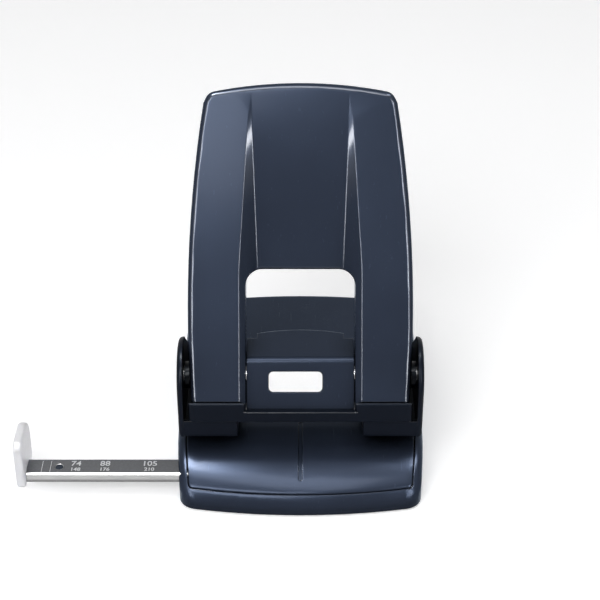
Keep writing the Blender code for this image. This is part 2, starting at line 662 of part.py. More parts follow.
def make_base_shell():
    """The casing: rounded rim, recess for the deck, hollow below."""
    shell = contoured_slab("shell", base_outline(0, 0), lambda y: BASE_BOTTOM, base_top,
                           BASE_RIM, 5)
    recess_end = DECK_REAR + GAP
    line_gap = DECK_LINE_GAP
    pocket = contoured_slab(
        "pocket", base_outline(DECK_SIDE_INSET - line_gap, DECK_FRONT_INSET - line_gap, recess_end,
                               DECK_CORNER + line_gap),
        lambda y: base_top(y) - SHELF_TOP_DROP, lambda y: base_top(y) + OVERRUN)

    def cavity_top(depth):
        share = min(max((depth - STEP_START) / (STEP_END - STEP_START), 0.0), 1.0)
        shelf = SHELF_TOP_DROP + SHELF_WALL
        return base_top(depth) - shelf + (shelf - BASE_WALL) * share

    cavity = contoured_slab("cavity", base_outline(BASE_WALL, BASE_WALL),
                            lambda y: BASE_BOTTOM - OVERRUN, cavity_top)
    for side in (-1, 1):
        boss = rod("boss", FOOT_BOSS_RADIUS,
                   (side * FOOT_X, FOOT_FRONT_Y, BASE_BOTTOM - OVERRUN * 2),
                   (side * FOOT_X, FOOT_FRONT_Y, FOOT_BOSS_TOP), 24)
        combine(cavity, boss)
    combine(shell, cavity)
    combine(shell, pocket)
    for side in (-1, 1):
        column = box("column", (side * PIN_X - FRAME_HALF - SLOT_CLEAR,
                                FRAME_THROAT_BACK - SLOT_CLEAR, BASE_BOTTOM + BASE_WALL),
                     (side * PIN_X + FRAME_HALF + SLOT_CLEAR, FRAME_REAR + SLOT_CLEAR,
                      REAR_TOP + OVERRUN))
        combine(shell, column)
        chute = box("chute", (side * PIN_X - DIE_HALF_WIDTH, PIN_Y - DIE_HALF_WIDTH - GAP,
                              BASE_BOTTOM + BASE_WALL),
                    (side * PIN_X + DIE_HALF_WIDTH, PIN_Y + DIE_HALF_WIDTH + GAP, DECK_TOP))
        combine(shell, chute)
        for place in FRAME_SCREWS_Y:
            hole = rod("hole", FRAME_SCREW_SHANK + RUN_CLEARANCE,
                       (side * PIN_X, place, BASE_BOTTOM + BASE_WALL),
                       (side * PIN_X, place, DECK_TOP - DECK_THICK), 16)
            combine(shell, hole)
    clear = RUN_CLEARANCE
    slot = box("slot", (-BASE_HALF_WIDTH - OVERRUN, RULER_FRONT - clear, RULER_BOTTOM - clear),
               (RAIL_HALF + GAP, RULER_BACK + clear, RULER_TOP + clear))
    combine(shell, slot)
    for side in (-1, 1):
        combine(shell, foot_pocket((side * FOOT_X, FOOT_FRONT_Y)))
    return finish(shell, "base_shell", (0.075, 0.09, 0.125), 0.42)


def make_base_deck():
    """The satin paper deck, set into the casing, with its engraved centre line."""
    deck = contoured_slab("deck", base_outline(DECK_SIDE_INSET, DECK_FRONT_INSET, DECK_REAR,
                                                DECK_CORNER),
                          lambda y: base_top(y) - DECK_THICK, base_top, DECK_EDGE, 2)
    half = CENTRE_LINE_WIDTH / 2
    outline = arc((0, CENTRE_LINE_FRONT + half), half, 180, 360, 8)
    outline += [(half, CENTRE_LINE_REAR), (-half, CENTRE_LINE_REAR)]
    line = contoured_slab("line", outline, lambda y: base_top(y) - CENTRE_LINE_DEPTH,
                          lambda y: base_top(y) + OVERRUN)
    combine(deck, line)
    window = box("window", (-DIE_HALF_LENGTH - GAP, PIN_Y - DIE_HALF_WIDTH - GAP, 0),
                 (DIE_HALF_LENGTH + GAP, PIN_Y + DIE_HALF_WIDTH + GAP, REAR_TOP))
    combine(deck, window)
    return finish(deck, "base_deck", (0.085, 0.105, 0.15), 0.3)


def make_die_plate():
    """The steel plate with the two die holes, level with the deck."""
    top = DECK_TOP
    plate = box("plate", (-DIE_HALF_LENGTH, PIN_Y - DIE_HALF_WIDTH, top - DIE_THICK),
                (DIE_HALF_LENGTH, PIN_Y + DIE_HALF_WIDTH, top))
    for side in (-1, 1):
        hole = rod("hole", HOLE_RADIUS + DIE_CLEARANCE, (side * PIN_X, PIN_Y, 0),
                   (side * PIN_X, PIN_Y, REAR_TOP))
        combine(plate, hole)
    return finish(plate, "die_plate", (0.55, 0.55, 0.56), 0.3, 1.0)


def make_paper_stop():
    """The bar at the back of the throat."""
    stop = box("stop", (-STOP_HALF, STOP_FACE, DECK_TOP + GAP),
               (STOP_HALF, STOP_FACE + STOP_THICK, THROAT_TOP - GAP))
    return finish(stop, "paper_stop", (0.06, 0.065, 0.075), 0.5)


def make_bottom_plate():
    """The plate under the rear half, with the hinge knuckles at its front edge."""
    front = HINGE_Y + KNUCKLE + GAP
    full = prism("plate", base_outline(BASE_WALL + GAP, BASE_WALL + GAP), BASE_BOTTOM,
                 BASE_BOTTOM + PLATE_THICK)
    combine(full, box("cut", (-BASE_HALF_WIDTH, -BASE_FRONT, 0),
                      (BASE_HALF_WIDTH, HINGE_Y + GAP, REAR_TOP)))
    for low, high in ((-BASE_HALF_WIDTH, -PLATE_KNUCKLE_END),
                      (-PLATE_KNUCKLE_START, PLATE_KNUCKLE_START),
                      (PLATE_KNUCKLE_END, BASE_HALF_WIDTH)):
        combine(full, box("cut", (low, HINGE_Y - KNUCKLE, 0), (high, front, REAR_TOP)))
    for place in ((-FOOT_X, FOOT_REAR_Y), (FOOT_X, FOOT_REAR_Y), (0, 0)):
        combine(full, foot_pocket(place))
    bore = HINGE_PIN + RUN_CLEARANCE
    for side in (-1, 1):
        low = side * PLATE_KNUCKLE_START
        high = side * PLATE_KNUCKLE_END
        knuckle = rod("knuckle", KNUCKLE, (low, HINGE_Y, HINGE_Z), (high, HINGE_Y, HINGE_Z), 20)
        combine(full, knuckle, "UNION")
        hole = rod("hole", bore, (low - side * OVERRUN, HINGE_Y, HINGE_Z),
                   (high + side * OVERRUN, HINGE_Y, HINGE_Z), 16)
        combine(full, hole)
    return finish(full, "bottom_plate", (0.05, 0.055, 0.065), 0.6)


def tray_outline(inset):
    """The tray in plan: it narrows in front, between the two foot bosses."""
    rear = HINGE_Y - KNUCKLE - GAP - inset
    step = FOOT_FRONT_Y + FOOT_BOSS_RADIUS + GAP * 2 + inset
    right = [(TRAY_NOSE_HALF - inset, TRAY_FRONT + inset), (TRAY_NOSE_HALF - inset, step),
             (TRAY_HALF - inset, step), (TRAY_HALF - inset, rear)]
    return right + [(-across, along) for across, along in reversed(right)]


def make_chip_tray():
    """The shallow pan that catches the chips and swings down about its rear edge."""
    rear = HINGE_Y - KNUCKLE - GAP
    pan = prism("pan", tray_outline(0), BASE_BOTTOM, TRAY_RIM)
    combine(pan, prism("inner", tray_outline(TRAY_WALL), BASE_BOTTOM + TRAY_FLOOR,
                       TRAY_RIM + OVERRUN))
    bore = HINGE_PIN + RUN_CLEARANCE
    for side in (-1, 1):
        low = side * TRAY_KNUCKLE_START
        high = side * TRAY_KNUCKLE_END
        web = box("web", (min(low, high), rear - TRAY_WALL, BASE_BOTTOM),
                  (max(low, high), HINGE_Y - GAP, BASE_BOTTOM + PLATE_THICK))
        combine(pan, web, "UNION")
        knuckle = rod("knuckle", KNUCKLE, (low, HINGE_Y, HINGE_Z), (high, HINGE_Y, HINGE_Z), 20)
        combine(pan, knuckle, "UNION")
        hole = rod("hole", bore, (low - side * OVERRUN, HINGE_Y, HINGE_Z),
                   (high + side * OVERRUN, HINGE_Y, HINGE_Z), 16)
        combine(pan, hole)
    set_origin(pan, (0, HINGE_Y, HINGE_Z))
    finish(pan, "chip_tray", (0.05, 0.055, 0.065), 0.55)
    reach = PLATE_KNUCKLE_END
    pin = rod("pin", HINGE_PIN, (-reach, HINGE_Y, HINGE_Z), (reach, HINGE_Y, HINGE_Z), 16)
    finish(pin, "tray_pin", (0.6, 0.6, 0.6), 0.3, 1.0)
    return pan


def make_feet():
    """Four corner feet and one under the middle."""
    places = [(-FOOT_X, FOOT_FRONT_Y), (FOOT_X, FOOT_FRONT_Y), (-FOOT_X, FOOT_REAR_Y),
              (FOOT_X, FOOT_REAR_Y)]
    for index, (across, along) in enumerate(places):
        foot = rod("foot", FOOT_RADIUS, (across, along, 0), (across, along, FOOT_THICK), 28)
        finish(foot, f"foot_{index + 1}", (0.03, 0.03, 0.032), 0.85)
    foot = rod("foot", FOOT_RADIUS, (0, 0, 0), (0, 0, FOOT_THICK), 28)
    finish(foot, "centre_foot", (0.03, 0.03, 0.032), 0.85)


def make_punch_frame(side):
    """A cast frame: lower arm under the deck, back column, guide arm and a forked eye."""
    low = side * PIN_X - FRAME_HALF
    high = side * PIN_X + FRAME_HALF
    shelf = DECK_TOP - SHELF_TOP_DROP - SHELF_WALL - GAP
    eye = arc((PIVOT_Y, PIVOT_Z), FRAME_EYE, 40, 240, 14)
    neck = PIVOT_Z - LEG_END_RADIUS + HANDLE_WALL + GAP * 3
    outline = [(FRAME_FRONT_LOW, FRAME_BOTTOM), (FRAME_REAR, FRAME_BOTTOM),
               (FRAME_REAR, FRAME_BACK_TOP)]
    outline += eye
    outline += [(GUIDE_FRONT, neck), (GUIDE_FRONT, GUIDE_BOTTOM),
                (FRAME_THROAT_BACK, GUIDE_BOTTOM), (FRAME_THROAT_BACK, shelf),
                (FRAME_FRONT_LOW, shelf)]
    frame = prism("frame", outline, low, high, "X")
    fork = box("fork", (side * PIN_X - FORK_HALF, PIVOT_Y - EAR_RADIUS, GUIDE_TOP),
               (side * PIN_X + FORK_HALF, FRAME_REAR + OVERRUN, PIVOT_Z + EAR_RADIUS))
    combine(frame, fork)
    eye_hole = rod("eye_hole", AXLE_RADIUS + RUN_CLEARANCE, (low - OVERRUN, PIVOT_Y, PIVOT_Z),
                   (high + OVERRUN, PIVOT_Y, PIVOT_Z))
    combine(frame, eye_hole)
    guide_hole = rod("guide_hole", HOLE_RADIUS + DIE_CLEARANCE, (side * PIN_X, PIN_Y, THROAT_TOP),
                     (side * PIN_X, PIN_Y, GUIDE_TOP + OVERRUN))
    combine(frame, guide_hole)
    chip_hole = rod("chip_hole", CHIP_RADIUS, (side * PIN_X, PIN_Y, 0),
                    (side * PIN_X, PIN_Y, shelf + OVERRUN), 24)
    combine(frame, chip_hole)
    for place in FRAME_SCREWS_Y:
        hole = rod("hole", FRAME_SCREW_SHANK + RUN_CLEARANCE, (side * PIN_X, place, 0),
                   (side * PIN_X, place, shelf + OVERRUN), 16)
        combine(frame, hole)
    return finish(frame, f"{side_name(side)}_punch_frame", (0.2, 0.2, 0.21), 0.5, 0.8)


def make_frame_screws():
    """Screws from below, through each lower arm and into the shelf."""
    number = 0
    for side in (-1, 1):
        for place in FRAME_SCREWS_Y:
            number += 1
            top = FRAME_BOTTOM - GAP
            head = rod("head", FRAME_SCREW_HEAD, (side * PIN_X, place, top - FRAME_SCREW_HEAD_THICK),
                       (side * PIN_X, place, top), 20)
            shank = rod("shank", FRAME_SCREW_SHANK, (side * PIN_X, place, top - GAP),
                        (side * PIN_X, place, DECK_TOP - DECK_THICK - 2 * GAP), 16)
            combine(head, shank, "UNION")
            finish(head, f"frame_screw_{number}", (0.6, 0.6, 0.6), 0.3, 1.0)


def make_frame_tie():
    """The plate between the two frames, under the cover, with the screws that hold the cover."""
    reach = PIN_X - FRAME_HALF - GAP
    plate = box("plate", (-reach, TIE_FRONT, TIE_BOTTOM), (reach, TIE_REAR, TIE_BOTTOM + TIE_THICK))
    for number, side in enumerate((-1, 1)):
        place = (side * COVER_SCREW_X, COVER_SCREW_Y)
        hole = rod("hole", SCREW_SHANK + RUN_CLEARANCE, (*place, 0), (*place, PIVOT_Z), 16)
        combine(plate, hole)
        head_top = TIE_BOTTOM - GAP
        head = rod("head", SCREW_HEAD, (*place, head_top - SCREW_HEAD_THICK), (*place, head_top), 20)
        shank = rod("shank", SCREW_SHANK, (*place, head_top - GAP),
                    (*place, TIE_BOTTOM + TIE_THICK + LUG_HALF), 16)
        combine(head, shank, "UNION")
        finish(head, f"cover_screw_{number + 1}", (0.6, 0.6, 0.6), 0.3, 1.0)
    return finish(plate, "frame_tie", (0.35, 0.35, 0.36), 0.4, 1.0)


def leg_sweep(low, high, radius):
    """A cylinder about the axle, to clear the legs' round ends."""
    return rod("sweep", radius, (low, PIVOT_Y, PIVOT_Z), (high, PIVOT_Y, PIVOT_Z), 64)


def make_side_shroud(side):
    """The ear outside the leg, with the jaw block that hides the guide arm."""
    seat = REAR_TOP + GAP
    jaw = [(JAW_FRONT, THROAT_TOP), (STOP_FACE + STOP_THICK + GAP, THROAT_TOP), (STEP_END, seat),
           (JAW_REAR, seat), (JAW_REAR, JAW_TOP), (JAW_FRONT, JAW_TOP)]
    inner = side * JAW_INNER
    outer = side * (EAR_INNER + JAW_WALL)
    block = prism("block", jaw, inner, outer, "X")
    round_edges(block, JAW_WALL / 2, 2,
                lambda edge: max(v.co.y for v in edge.verts) < JAW_FRONT + GAP
                and min(v.co.z for v in edge.verts) < THROAT_TOP + GAP)
    pocket_inner = side * (JAW_INNER + JAW_WALL)
    pocket_outer = side * EAR_INNER
    pocket = box("pocket", (min(pocket_inner, pocket_outer), JAW_FRONT + JAW_WALL,
                            GUIDE_BOTTOM - GAP),
                 (max(pocket_inner, pocket_outer), JAW_REAR - JAW_WALL, JAW_TOP + OVERRUN))
    combine(block, pocket)
    column = box("column", (side * PIN_X - FRAME_HALF - GAP, FRAME_THROAT_BACK - SLOT_CLEAR, 0),
                 (side * PIN_X + FRAME_HALF + GAP, FRAME_REAR + SLOT_CLEAR, JAW_TOP))
    combine(block, column)
    pin_hole = rod("pin_hole", HOLE_RADIUS + RUN_CLEARANCE, (side * PIN_X, PIN_Y, DECK_TOP),
                   (side * PIN_X, PIN_Y, JAW_TOP))
    combine(block, pin_hole)
    sweep = leg_sweep(side * (WINDOW_HALF - GAP), pocket_outer, SWEEP_RADIUS)
    combine(block, sweep)
    ear = [(JAW_FRONT, THROAT_TOP), (STOP_FACE + STOP_THICK + GAP, THROAT_TOP),
           (STEP_END, seat), (EAR_REAR, seat)]
    ear += arc((PIVOT_Y, PIVOT_Z), EAR_RADIUS, 38, 172, 22)
    plate = prism("ear", ear, side * EAR_INNER, side * EAR_OUTER, "X")
    face = EAR_OUTER - GAP
    round_edges(plate, EAR_ROUND, 4, lambda edge: min(abs(v.co.x) for v in edge.verts) > face)
    combine(plate, block, "UNION")
    bore = rod("bore", AXLE_RADIUS + RUN_CLEARANCE, (pocket_outer - side * OVERRUN, PIVOT_Y, PIVOT_Z),
               (side * (EAR_OUTER - JAW_WALL + GAP), PIVOT_Y, PIVOT_Z))
    combine(plate, bore)
    return finish(plate, f"{side_name(side)}_side_shroud", (0.06, 0.068, 0.085), 0.45)


def make_front_bar():
    """The fixed bar over the throat: a low strip between two caps under the legs."""
    low = JAW_TOP + GAP
    bar = box("bar", (-WINDOW_HALF - OVERRUN, BAR_FRONT, low),
              (WINDOW_HALF + OVERRUN, BAR_STRIP_BACK, BAR_STRIP_TOP))
    for side in (-1, 1):
        ends = (side * WINDOW_HALF, side * BAR_HALF)
        cap = box("cap", (min(ends), BAR_FRONT, low), (max(ends), BAR_BACK, BAR_TOP))
        round_edges(cap, BAR_ROUND, 4,
                    lambda edge: max(v.co.y for v in edge.verts) < BAR_FRONT + GAP
                    and max(v.co.z for v in edge.verts) > low + GAP)
        combine(bar, cap, "UNION")
        combine(bar, leg_sweep(side * (WINDOW_HALF - GAP), side * EAR_INNER, SWEEP_RADIUS))
    return finish(bar, "front_bar", (0.045, 0.05, 0.065), 0.45)


def cover_body(name, inset):
    """The cover's outer form, or its hollow when it is drawn in."""
    bottom = COVER_BOTTOM - (OVERRUN if inset else 0)
    lean = inset / math.sin(HANDLE_TILT)
    back = COVER_BACK - inset
    side_view = [(COVER_FRONT_Y + inset, bottom), (COVER_FRONT_Y + inset, COVER_FRONT_Z),
                 (COVER_TOP_Y + lean, COVER_TOP_Z - inset), (back, COVER_TOP_Z - inset),
                 (back, bottom)]
    half = COVER_HALF - inset
    body = prism(name, side_view, -half, half, "X")
    radius = (half ** 2 + COVER_BACK_SAG ** 2) / (2 * COVER_BACK_SAG)
    lean_angle = math.degrees(math.asin(half / radius))
    plan = arc((0, back - radius), radius, 90 - lean_angle, 90 + lean_angle, 14)
    plan += [(-half, COVER_FRONT_Y - OVERRUN), (half, COVER_FRONT_Y - OVERRUN)]
    trim = prism("trim", plan, 0, PIVOT_Z + EAR_RADIUS)
    return combine(body, trim, "INTERSECT")


def face_frame(up):
    """A frame on the cover's leaning face: X across, Y up the face and Z out of it."""
    place = Vector((0, COVER_FRONT_Y + up * math.cos(HANDLE_TILT),
                    COVER_FRONT_Z + up * math.sin(HANDLE_TILT)))
    return Matrix.Translation(place) @ Matrix.Rotation(HANDLE_TILT, 4, "X")


def label_slab(name, grow, low, high):
    """The label's rounded outline as a slab on the cover's face."""
    half = (LABEL_WIDTH / 2 + grow, LABEL_HEIGHT / 2 + grow)
    corner = LABEL_CORNER + grow
    outline = []
    for index, (across, along) in enumerate(((1, -1), (1, 1), (-1, 1), (-1, -1))):
        centre = (LABEL_X + across * (half[0] - corner), along * (half[1] - corner))
        outline += arc(centre, corner, 270 + 90 * index, 360 + 90 * index, 5)
    slab = prism(name, outline, low, high)
    slab.data.transform(face_frame(LABEL_UP))
    return slab


def make_front_cover():
    """The hollow cover between the legs, and the blank label let into its face."""
    cover = cover_body("cover", 0)
    round_edges(cover, COVER_ROUND, 4,
                lambda edge: min(v.co.z for v in edge.verts) > COVER_TOP_Z - GAP
                and abs(edge.verts[0].co.x + edge.verts[1].co.x) < 2 * (COVER_HALF - GAP))
    combine(cover, cover_body("hollow", COVER_WALL))
    corner = COVER_BACK - COVER_BACK_SAG
    for side in (-1, 1):
        across = (side * (COVER_HALF - COVER_NOTCH), side * (COVER_HALF + OVERRUN))
        notch = box("notch", (min(across), corner - COVER_NOTCH_DEPTH, COVER_TOP_Z - COVER_NOTCH_DROP),
                    (max(across), COVER_BACK, COVER_TOP_Z + OVERRUN))
        combine(cover, notch)
    for side in (-1, 1):
        place = (side * COVER_SCREW_X, COVER_SCREW_Y)
        post = rod("post", COVER_BOSS_RADIUS, (*place, COVER_BOTTOM),
                   (*place, COVER_TOP_Z - COVER_WALL / 2), 20)
        combine(cover, post, "UNION")
        combine(cover, rod("hole", SCREW_SHANK + GAP, (*place, 0),
                           (*place, COVER_BOTTOM + LUG_HALF + GAP), 16))
    reach = COVER_HALF + OVERRUN
    combine(cover, rod("bore", AXLE_RADIUS + RUN_CLEARANCE, (-reach, PIVOT_Y, PIVOT_Z),
                       (reach, PIVOT_Y, PIVOT_Z)))
    combine(cover, label_slab("recess", GAP, -LABEL_THICK - GAP / 2, OVERRUN))
    finish(cover, "front_cover", (0.07, 0.085, 0.12), 0.38)
    label = label_slab("label", 0, GAP / 2 - LABEL_THICK, GAP / 2)
    return finish(label, "name_label", (0.92, 0.92, 0.93), 0.5)


def make_axle():
    """The axle from ear to ear, with a washer outside each leg."""
    reach = EAR_OUTER - JAW_WALL
    axle = rod("axle", AXLE_RADIUS, (-reach, PIVOT_Y, PIVOT_Z), (reach, PIVOT_Y, PIVOT_Z))
    finish(axle, "axle", (0.62, 0.62, 0.63), 0.25, 1.0)
    inner = handle_half(0) + GAP
    for side in (-1, 1):
        low = side * inner
        high = side * (EAR_INNER - GAP)
        washer = rod("washer", WASHER_RADIUS, (low, PIVOT_Y, PIVOT_Z), (high, PIVOT_Y, PIVOT_Z))
        combine(washer, rod("bore", AXLE_RADIUS + RUN_CLEARANCE, (low - side * OVERRUN, PIVOT_Y, PIVOT_Z),
                            (high + side * OVERRUN, PIVOT_Y, PIVOT_Z)))
        finish(washer, f"{side_name(side)}_axle_washer", (0.7, 0.7, 0.71), 0.25, 1.0)


def make_punch_pin(side):
    """A punch: flat head, ground shank and a hollow-ground tip."""
    tip = THROAT_TOP + PIN_TIP_ABOVE_THROAT
    shape = bmesh.new()
    profile = [(0, HEAD_TOP), (HEAD_RADIUS - GAP, HEAD_TOP), (HEAD_RADIUS, HEAD_TOP - GAP),
               (HEAD_RADIUS, HEAD_TOP - HEAD_THICK), (HOLE_RADIUS, HEAD_TOP - HEAD_THICK),
               (HOLE_RADIUS, tip), (0, tip)]
    corners = [shape.verts.new((across, 0, height)) for across, height in profile]
    for first, second in zip(corners, corners[1:]):
        shape.edges.new((first, second))
    mesh = bpy.data.meshes.new("pin")
    shape.to_mesh(mesh)
    shape.free()
    pin = new_object("pin", mesh)
    turn = pin.modifiers.new("turn", "SCREW")
    turn.steps = LINE_STEPS
    turn.render_steps = LINE_STEPS
    turn.use_merge_vertices = True
    turn.merge_threshold = MERGE_DISTANCE
    turned = evaluated_mesh(pin)
    pin.modifiers.clear()
    pin.data = turned
    notch = prism("notch", [(-PIN_NOTCH, tip - PIN_NOTCH), (PIN_NOTCH, tip - PIN_NOTCH),
                            (0, tip + PIN_NOTCH)], -HEAD_RADIUS, HEAD_RADIUS, "X")
    combine(pin, notch)
    pin.data.transform(Matrix.Translation((side * PIN_X, PIN_Y, 0)))
    set_origin(pin, (side * PIN_X, PIN_Y, HEAD_TOP))
    return finish(pin, f"{side_name(side)}_punch_pin", (0.72, 0.72, 0.73), 0.22, 1.0)


def make_spring(side):
    """A return spring round the pin, from the guide arm to the head."""
    low = GUIDE_TOP + SPRING_WIRE / 2 + GAP
    high = HEAD_TOP - HEAD_THICK - SPRING_WIRE / 2 - GAP
    count = SPRING_TURNS * SPRING_POINTS
    curve = bpy.data.curves.new("spring", "CURVE")
    curve.dimensions = "3D"
    curve.bevel_depth = SPRING_WIRE / 2
    curve.bevel_resolution = 1
    curve.use_fill_caps = True
    line = curve.splines.new("POLY")
    line.points.add(count)
    for index in range(count + 1):
        turn = 2 * math.pi * index / SPRING_POINTS
        share = index / count
        line.points[index].co = (side * PIN_X + SPRING_COIL * math.cos(turn),
                                 PIN_Y + SPRING_COIL * math.sin(turn), low + (high - low) * share, 1)
    pitch = (high - low) / SPRING_TURNS
    print(f"{side_name(side)} spring: least gap {(pitch - SPRING_WIRE) / MM:.2f} mm")
    guide = bpy.data.objects.new("spring", curve)
    PARTS.objects.link(guide)
    spring = new_object("spring", evaluated_mesh(guide))
    bpy.data.objects.remove(guide)
    shape = bmesh.new()
    shape.from_mesh(spring.data)
    bmesh.ops.remove_doubles(shape, verts=shape.verts, dist=MERGE_DISTANCE)
    bmesh.ops.recalc_face_normals(shape, faces=shape.faces)
    shape.to_mesh(spring.data)
    shape.free()
    return finish(spring, f"{side_name(side)}_spring", (0.6, 0.6, 0.6), 0.3, 1.0)


def make_ruler():
    """The sliding paper guide: folded strip, end stop, rivets, rail and detent spring."""
    front, back = RULER_FRONT, RULER_BACK
    under = RULER_TOP - RULER_SHEET
    outline = [(front, RULER_BOTTOM), (front + RULER_FLANGE, RULER_BOTTOM),
               (front + RULER_FLANGE, under), (back - RULER_FLANGE, under),
               (back - RULER_FLANGE, RULER_BOTTOM), (back, RULER_BOTTOM), (back, RULER_TOP)]
    outline += arc((front + RULER_ROUND, RULER_TOP - RULER_ROUND), RULER_ROUND, 90, 180, 5)
    strip = prism("strip", outline, RULER_OUT + GAP, RULER_IN, "X")
    middle = (front + back) / 2
    combine(strip, rod("hole", RULER_HOLE_RADIUS, (RULER_HOLE_X, middle, 0),
                       (RULER_HOLE_X, middle, REAR_TOP), 24))
    set_origin(strip, (RULER_OUT, middle, RULER_TOP))
    finish(strip, "ruler_strip", (0.6, 0.6, 0.6), 0.28, 1.0)

    corner = STOP_PLATE_DEPTH * STOP_CORNER_SHARE
    rear = STOP_PLATE_FRONT + STOP_PLATE_DEPTH
    foot_corner = STOP_PLATE_DEPTH * STOP_LOW_CORNER_SHARE
    plate_line = arc((STOP_PLATE_FRONT + foot_corner, STOP_PLATE_BOTTOM + foot_corner), foot_corner,
                     180, 270, 4)
    plate_line += arc((rear - foot_corner, STOP_PLATE_BOTTOM + foot_corner), foot_corner, 270, 360, 4)
    plate_line += arc((rear - corner, STOP_PLATE_TOP - corner), corner, 0, 90, 8)
    plate_line += arc((STOP_PLATE_FRONT + foot_corner, STOP_PLATE_TOP - foot_corner), foot_corner,
                      90, 180, 4)
    stop = prism("stop", plate_line, RULER_OUT - STOP_PLATE_THICK, RULER_OUT, "X")
    round_edges(stop, STOP_PLATE_ROUND, 3,
                lambda edge: abs(edge.verts[0].co.x - edge.verts[1].co.x) < GAP)
    foot_top = under - GAP
    foot_low = foot_top - RAIL_DROP
    inner_front = front + RULER_FLANGE + GAP
    inner_back = back - RULER_FLANGE - GAP
    foot = box("foot", (RULER_OUT - STOP_PLATE_ROUND, inner_front, foot_low),
               (RULER_OUT + STOP_FOOT, inner_back, foot_top))
    combine(stop, foot, "UNION")
    for index in range(2):
        across = RULER_OUT + STOP_FOOT * (index + 1) / 3
        combine(stop, rod("hole", RIVET_RADIUS + GAP / 2, (across, middle, foot_low - OVERRUN),
                          (across, middle, foot_top + OVERRUN), 16))
        rivet = rod("rivet", RIVET_HEAD, (across, middle, foot_low - RIVET_HEAD_THICK - GAP / 2),
                    (across, middle, foot_low - GAP / 2), 18)
        shank = rod("shank", RIVET_RADIUS, (across, middle, foot_low - GAP),
                    (across, middle, foot_top), 14)
        combine(rivet, shank, "UNION")
        finish(rivet, f"ruler_rivet_{index + 1}", (0.65, 0.65, 0.65), 0.3, 1.0)
    finish(stop, "ruler_end_stop", (0.88, 0.88, 0.89), 0.35)

    rail_top = foot_top
    plate_top = RULER_BOTTOM - GAP
    rail = box("rail", (-RAIL_HALF, front, FOOT_BOSS_TOP + GAP), (RAIL_HALF, back, plate_top))
    web_start = RULER_OUT + STOP_FOOT + RULER_INWARD + GAP
    web = box("web", (web_start, inner_front, plate_top - GAP), (RAIL_HALF, inner_back, rail_top))
    combine(rail, web, "UNION")
    half = DETENT_LENGTH / 2
    notch = box("notch", (DETENT_X - half - GAP, inner_front - OVERRUN, rail_top - 4 * DETENT_THICK),
                (DETENT_X + half + GAP, inner_back + OVERRUN, rail_top + OVERRUN))
    combine(rail, notch)
    finish(rail, "ruler_rail", (0.1, 0.1, 0.11), 0.5)
    lift = rail_top - 4 * DETENT_THICK + GAP
    low_line = []
    for index in range(11):
        share = index / 10
        rise = 2 * DETENT_THICK * math.sin(math.pi * share) ** 2
        low_line.append((DETENT_X - half + DETENT_LENGTH * share, lift + rise))
    high_line = [(across, height + DETENT_THICK) for across, height in reversed(low_line)]
    leaf = prism("leaf", [(0 - across, height) for across, height in low_line + high_line],
                 middle - HOLE_RADIUS / 2, middle + HOLE_RADIUS / 2, "X")
    leaf.data.transform(Matrix.Rotation(math.radians(90.0), 4, "Z"))
    return finish(leaf, "ruler_detent", (0.6, 0.6, 0.6), 0.3, 1.0)


def handle_half(along):
    """Half the handle's width at a distance along it from the axle."""
    run = along - HANDLE_WIDEST
    return HANDLE_HALF - SIDE_RADIUS + math.sqrt(SIDE_RADIUS ** 2 - run ** 2)


def handle_plan(inset):
    """The handle seen square to its face, drawn in by an inset."""
    low = -LEG_END_RADIUS - OVERRUN
    crown = CROWN_RADIUS - inset
    tip = HANDLE_TIP - inset
    corner = CROWN_CORNER - inset
    shoulder = handle_half(HANDLE_TIP - CROWN_CORNER) - inset
    centre_x = shoulder - corner
    centre_y = tip - crown + math.sqrt((crown - corner) ** 2 - centre_x ** 2)
    lean = math.degrees(math.atan2(centre_x, crown - tip + centre_y))
    right = []
    steps = 14
    for index in range(steps + 1):
        along = low + (centre_y - low) * index / steps
        right.append((handle_half(along) - inset, along))
    skew = math.degrees(math.asin((centre_y - HANDLE_WIDEST) / SIDE_RADIUS))
    right += arc((centre_x, centre_y), corner, skew, 90 - lean, 5)[1:]
    top = arc((0, tip - crown), crown, 90 - lean, 90 + lean, 16)[1:-1]
    left = [(-across, along) for across, along in reversed(right)]
    return right + top + left


def handle_side(inset):
    """The handle seen from its side, with the legs' round ends about the axle."""
    front = FACE_OFFSET - inset
    radius = LEG_END_RADIUS - inset
    back_low = FACE_OFFSET - HANDLE_DEPTH_LOW
    back_tip = FACE_OFFSET - HANDLE_DEPTH_TIP - (HANDLE_WALL + OVERRUN if inset else 0)
    start = math.degrees(math.asin(front / radius))
    finish_angle = -90 if inset else math.degrees(math.asin(back_low / radius))
    turn = arc((0, 0), radius, 180 - start, 180 - finish_angle, 12)
    reach = HANDLE_TIP + (0 if inset else OVERRUN)
    return [(reach, back_tip), (reach, front)] + turn


def rounded_body(name):
    """The handle's outline lofted from the face to the back, with a rounded edge."""
    rings = []
    steps = 5
    for index in range(steps + 1):
        angle = math.pi / 2 * index / steps
        inset = HANDLE_ROUND * (1 - math.sin(angle))
        out = FACE_OFFSET - HANDLE_ROUND * (1 - math.cos(angle))
        rings.append([(across, along, out) for across, along in handle_plan(inset)])
    rings.append([(across, along, -HANDLE_DEPTH_LOW * 2) for across, along in handle_plan(0)])
    return loft(name, rings)


def handle_body(name, inset):
    """The handle's outer form, or its hollow when it is drawn in."""
    if inset:
        body = prism(name, handle_plan(inset), -HANDLE_DEPTH_LOW * 2, FACE_OFFSET - inset)
    else:
        body = rounded_body(name)
    trim = prism("trim", handle_side(inset), -HANDLE_HALF * 2, HANDLE_HALF * 2, "X")
    return combine(body, trim, "INTERSECT")


